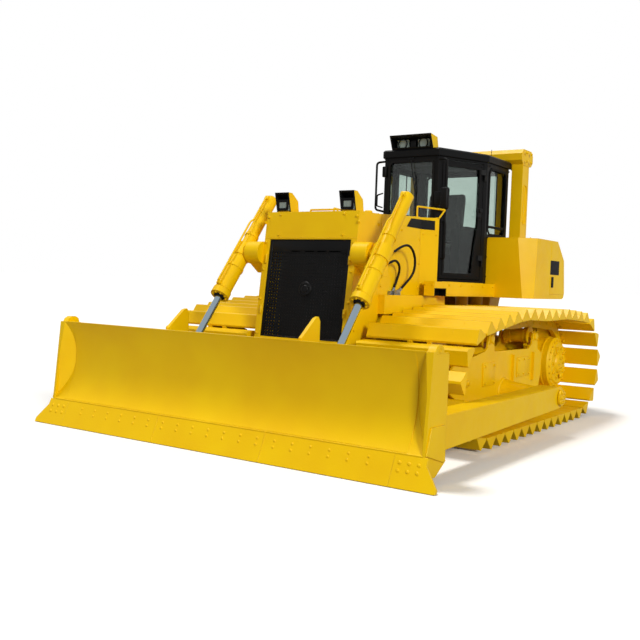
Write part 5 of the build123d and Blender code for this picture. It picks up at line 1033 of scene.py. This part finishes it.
for side in (1, -1):
    front_seam(side, [(0.68, 1.36), (0.93, 1.36), (0.93, 1.86), (0.68, 1.86)])
    front_seam(side, [(0.84, 1.45), (0.90, 1.45), (0.90, 1.60), (0.78, 1.60), (0.78, 1.45)], 0.002)
    stamp(boxes, turned([(0, 0.010), (0.014, 0.010), (0.018, 0.006), (0.018, 0.0)], 18),
          facing(box_front(side, 0.76, 1.79, 0.0), -Y))
    for y in (1.72, 1.985):
        side_sheet(boxes, side, [y, y + 0.008], [1.34, 1.65, 1.955], -0.001, 0.004)
    side_sheet(boxes, side, [1.56, 1.988], [1.350, 1.356], -0.001, 0.004)
    side_sheet(boxes, side, [1.995, 2.47], [1.350, 1.356], -0.001, 0.004)
    # straps and hinges on top, and the hand hole's cover
    slab(boxes, side, (0.84, 1.04), (1.62, 1.90), (1.974, 1.981), 0.003)
    bolts(boxes, [(side * x, y, 1.981) for x in (0.86, 1.02) for y in (1.64, 1.88)], Z, 0.014)
    for x in (0.72, 0.90):
        slab(boxes, side, (x - 0.02, x + 0.02), (1.985, 2.195), (1.972, 1.984), 0.003)
        bolts(boxes, [(side * x, y, 1.984) for y in (2.03, 2.16)], Z, 0.014)
    # rear lamps on brackets
    slab(boxes, side, (0.93, 1.05), (2.30, 2.352), (1.868, 1.892), 0.003)
for x in (-0.84, -0.30, 0.30, 0.84):
    pipe(boxes, [(x, 2.5015, 1.32), (x, 2.5015, 1.64)], 0.004, sides=4)
pipe(boxes, [(-1.13, 2.5015, 1.36), (1.13, 2.5015, 1.36)], 0.004, sides=4)
stamp(boxes, turned([(0, 0.048), (0.046, 0.048), (0.052, 0.042), (0.052, 0.010), (0.070, 0.006),
                     (0.070, 0)], 32),
      facing((-0.52, 2.10, 1.975), Z))
for a in range(8):
    x, y = -0.52 + 0.052 * math.cos(a * 0.785), 2.10 + 0.052 * math.sin(a * 0.785)
    block(boxes, (x - 0.004, y - 0.004, 1.990), (x + 0.004, y + 0.004, 2.018))
bolts(boxes, ring((0, 2.502, 1.50), 0.075, 6, "y"), Y, 0.016)
stamp(boxes, turned([(0, 0.012), (0.085, 0.012), (0.092, 0.006), (0.092, 0)], 32), facing((0, 2.498, 1.50), Y))
put(boxes, "tank_and_box_seams", paint)
gadgets = bmesh.new()
for side in (1, -1):
    # small dark fitting under the name plate, handle slot in the box's front, rear lamp housings
    slab(gadgets, side, (1.149, 1.162), (2.02, 2.075), (1.430, 1.555), 0.004)
    slot_x, slot_y = 0.655, 1.38 + 0.28 * 0.05
    slab(gadgets, side, (slot_x - 0.008, slot_x + 0.008), (slot_y - 0.010, slot_y + 0.012),
         (1.445, 1.560), 0.003)
    slab(gadgets, side, (0.94, 1.04), (2.315, 2.385), (1.892, 1.972), 0.008)
put(gadgets, "tank_and_box_gadgets", plastic)
tail_lamps = bmesh.new()
for side in (1, -1):
    stamp(tail_lamps, turned([(0, 0.012), (0.026, 0.010), (0.033, 0.004), (0.033, -0.004), (0, -0.004)], 24),
          facing((side * 0.99, 2.386, 1.932), Y))
put(tail_lamps, "rear_lamp_lenses", lens_glass)
pin = bmesh.new()
stamp(pin, turned([(0, 0.034), (0.030, 0.034), (0.038, 0.026), (0.038, 0.0)], 24),
      facing((0.0, 2.32, 0.65), Z))
bolts(pin, [(x, 2.332, z) for x in (-0.40, -0.20, 0.20, 0.40) for z in (0.60, 1.05)], Y, 0.030)
put(pin, "rear_frame_bolts", paint)

# ---- seat cushions ---------------------------------------------------------------------------
def stuffed(low, high, rim, voxel, cap, pressure):
    """A cushion blown up from a rounded block: remeshed, run as pressed cloth, moved no further
    than the cap, and left flat underneath."""
    bm = block(bmesh.new(), low, high, rim, 4)
    mesh = bpy.data.meshes.new("pad")
    bm.to_mesh(mesh)
    bm.free()
    holder = bpy.data.objects.new("pad", mesh)
    scene.collection.objects.link(holder)
    remesh = holder.modifiers.new("remesh", "REMESH")
    remesh.mode, remesh.voxel_size = "VOXEL", voxel

    def baked():
        bpy.context.view_layer.update()
        graph = bpy.context.evaluated_depsgraph_get()
        return bpy.data.meshes.new_from_object(holder.evaluated_get(graph))

    start = baked()
    holder.modifiers.clear()
    holder.data = start
    final = start
    still = [v.co.copy() for v in start.vertices]
    press = holder.modifiers.new("press", "CLOTH")
    press.settings.use_pressure = True
    press.settings.uniform_pressure_force = pressure
    press.settings.effector_weights.gravity = 0
    press.settings.quality = 6
    for step in range(1, 21):
        scene.frame_set(step)
    final = baked()
    holder.modifiers.clear()
    for vert, home in zip(final.vertices, still):
        move = vert.co - home
        vert.co = home + move * min(1.0, cap / max(move.length, 1e-9))
        vert.co.z = max(vert.co.z, low[2])
    scene.frame_set(1)
    holder.data = final
    smooth = holder.modifiers.new("smooth", "SUBSURF")
    smooth.levels = smooth.render_levels = 1
    final = baked()
    bpy.data.objects.remove(holder)
    bm = bmesh.new()
    bm.from_mesh(final)
    return bm


def fade(distance, width):
    """A bell curve: 1 at no distance, falling off over a width."""
    return math.exp(-(distance / width) ** 2)


seat = stuffed((-0.238, 1.052, 1.770), (0.238, 1.492, 1.866), 0.030, 0.008, 0.014, 4.0)
for vert in seat.verts:
    over = max(0.0, vert.co.z - 1.80) / 0.07
    vert.co.z += over * (0.010 * fade(abs(vert.co.x) - 0.19, 0.05)
                         - 0.006 * fade(vert.co.x, 0.15))
    near = min(abs(vert.co.y - at) for at in (1.17, 1.28, 1.39))
    inside = 1.0 if abs(vert.co.x) < 0.165 else fade(abs(vert.co.x) - 0.165, 0.012)
    vert.co.z -= min(over, 1.0) * 0.006 * fade(near, 0.007) * inside
    near = abs(abs(vert.co.x) - 0.165)
    vert.co.z -= min(over, 1.0) * 0.007 * fade(near, 0.007)
seat = put(seat, "seat_cushion_cover", cloth, angle=60)
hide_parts("seat_cushion")

back = stuffed((-0.233, -0.05, 1.920), (0.233, 0.05, 2.500), 0.032, 0.008, 0.012, 4.0)
for vert in back.verts:
    front = max(0.0, -vert.co.y) / 0.05
    near = min(abs(vert.co.z - at) for at in (2.06, 2.19, 2.32))
    inside = 1.0 if abs(vert.co.x) < 0.150 else fade(abs(vert.co.x) - 0.150, 0.012)
    vert.co.y += min(front, 1.0) * 0.006 * fade(near, 0.007) * inside
    near = abs(abs(vert.co.x) - 0.150)
    vert.co.y += min(front, 1.0) * 0.007 * fade(near, 0.007)
    t = (vert.co.z - 1.91) / 0.6
    rise = min(max((vert.co.y + 0.060) / 0.120, 0.0), 1.0)
    vert.co.y = (1.403 + 0.104 * t) * (1 - rise) + (1.5225 + 0.084 * t) * rise
back = put(back, "seat_back_cover", cloth, angle=60)
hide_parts("seat_back")

# ---- cab interior ------------------------------------------------------------------------------
inside = bmesh.new()
for side in (1, -1):
    # arm pads, levers with boots and knobs
    slab(inside, side, (0.300, 0.385), (1.30, 1.56), (2.061, 2.095), 0.014, 3)
    for y, lean_y in ((1.14, -0.03), (1.22, -0.02)):
        foot, knob = Vector((side * 0.340, y, 2.060)), Vector((side * 0.336, y + lean_y, 2.200))
        pipe(inside, [foot, knob], 0.008, sides=8)
        stamp(inside, turned([(0, 0.030), (0.012, 0.028), (0.020, 0.018), (0.022, 0.002), (0.016, -0.018),
                              (0.010, -0.026)], 18), facing(knob, knob - foot))
        stamp(inside, turned([(0.009, 0.050), (0.020, 0.036), (0.016, 0.030), (0.027, 0.018), (0.023, 0.012),
                              (0.034, 0.0)], 18), facing(foot, Z))
# dash hood, gauges' bezels, pedals and mat, panel under the roof
cut_plate(inside, [(0.665, 2.086), (0.850, 2.086), (0.820, 2.128), (0.680, 2.140)], "x", -0.200, 0.200, 0.006)
for x in (-0.12, -0.04, 0.04, 0.12):
    stamp(inside, turned([(0.026, 0.0), (0.032, 0.0), (0.032, 0.008), (0.026, 0.008), (0.026, 0.0)], 22),
          facing((x, 0.8405, 2.02), Y))
for x in (-0.12, 0.04, 0.14):
    cut_plate(inside, [(0.900, 1.560), (0.912, 1.566), (0.950, 1.500), (0.938, 1.494)], "x",
              x - 0.035, x + 0.035)
    pipe(inside, [(x, 0.905, 1.553), (x, 0.845, 1.480)], 0.007, sides=6)
block(inside, (-0.255, 0.86, 1.4455), (0.255, 1.085, 1.4520), 0.002)
block(inside, (-0.30, 0.78, 2.775), (0.30, 1.10, 2.8145), 0.012, 3)
block(inside, (-0.50, 1.10, 2.800), (0.50, 1.88, 2.8145), 0.004)
put(inside, "cab_interior", plastic)
faces = bmesh.new()
for x in (-0.12, -0.04, 0.04, 0.12):
    stamp(faces, turned([(0, 0.003), (0.026, 0.003), (0.026, 0.0005)], 22), facing((x, 0.8405, 2.02), Y))
put(faces, "gauge_glasses", lens_glass)

# ---- studio ----------------------------------------------------------------------------
floor_bm = bmesh.new()
bmesh.ops.create_grid(floor_bm, x_segments=1, y_segments=1, size=400)
floor_mesh = bpy.data.meshes.new("floor")
floor_bm.to_mesh(floor_mesh)
floor_bm.free()
floor = bpy.data.objects.new("floor", floor_mesh)
scene.collection.objects.link(floor)
floor_material = bpy.data.materials.new("pale_studio_floor")
floor_material.use_nodes = True
tree = floor_material.node_tree
shader = tree.nodes["Principled BSDF"]
shader.inputs["Roughness"].default_value = 0.8
shader.inputs["Specular IOR Level"].default_value = 0.1
shader.inputs["Emission Color"].default_value = (1, 1, 1, 1)
seen = add(tree, "LightPath").outputs["Is Camera Ray"]
glow = add(tree, "MapRange", {"Value": seen, "To Max": 0.02}).outputs["Result"]
tree.links.new(glow, shader.inputs["Emission Strength"])
# the floor throws back less light than it shows, so that shade under the machine stays deep
tree.links.new(blend_colours(tree, seen, linear(FLOOR_BOUNCE), linear(FLOOR)),
               shader.inputs["Base Color"])
floor.data.materials.append(floor_material)

# a low key from the front left of the machine, and a wide light from above
for name, energy, spread, towards in (("key", 2.0, 14, (0.80, -0.50, 0.36)),
                                      ("top", 1.95, 14, (-0.32, -0.04, 0.94))):
    light_data = bpy.data.lights.new(name, "SUN")
    light_data.energy = energy
    light_data.angle = math.radians(spread)
    light_data.color = (1.0, 0.985, 0.95)
    light = bpy.data.objects.new(name, light_data)
    light.rotation_euler = Vector(towards).to_track_quat("Z", "Y").to_euler()
    scene.collection.objects.link(light)

world = bpy.data.worlds.new("studio")
scene.world = world
world.use_nodes = True
tree = world.node_tree
path = add(tree, "LightPath")
seen = add(tree, "Math", {0: path.outputs["Is Camera Ray"], 1: path.outputs["Is Transmission Ray"]},
           operation="MAXIMUM").outputs["Value"]
mirror = add(tree, "MapRange", {"Value": path.outputs["Is Glossy Ray"], "To Min": 0.32,
                                "To Max": 0.6}).outputs["Result"]
level = add(tree, "Math", {0: seen, 1: mirror}, operation="MAXIMUM").outputs["Value"]
tree.links.new(level, tree.nodes["Background"].inputs["Strength"])
tree.nodes["Background"].inputs["Color"].default_value = (1, 1, 1, 1)

camera_data = bpy.data.cameras.new("camera")
camera_data.lens, camera_data.sensor_width, camera_data.clip_end = 48.75, 36, 1000
camera = bpy.data.objects.new("camera", camera_data)
AZIMUTH, DOWN, ROLL = math.radians(34.11), math.radians(2.52), math.radians(2.07)
camera.matrix_world = (Matrix.Translation((4.62, -7.89, 1.40)) @ Matrix.Rotation(AZIMUTH, 4, "Z")
                       @ Matrix.Rotation(math.pi / 2 - DOWN, 4, "X")
                       @ Matrix.Rotation(ROLL, 4, "Z"))
scene.collection.objects.link(camera)
scene.camera = camera
scene.view_settings.view_transform = "Standard"

bpy.context.view_layer.update()
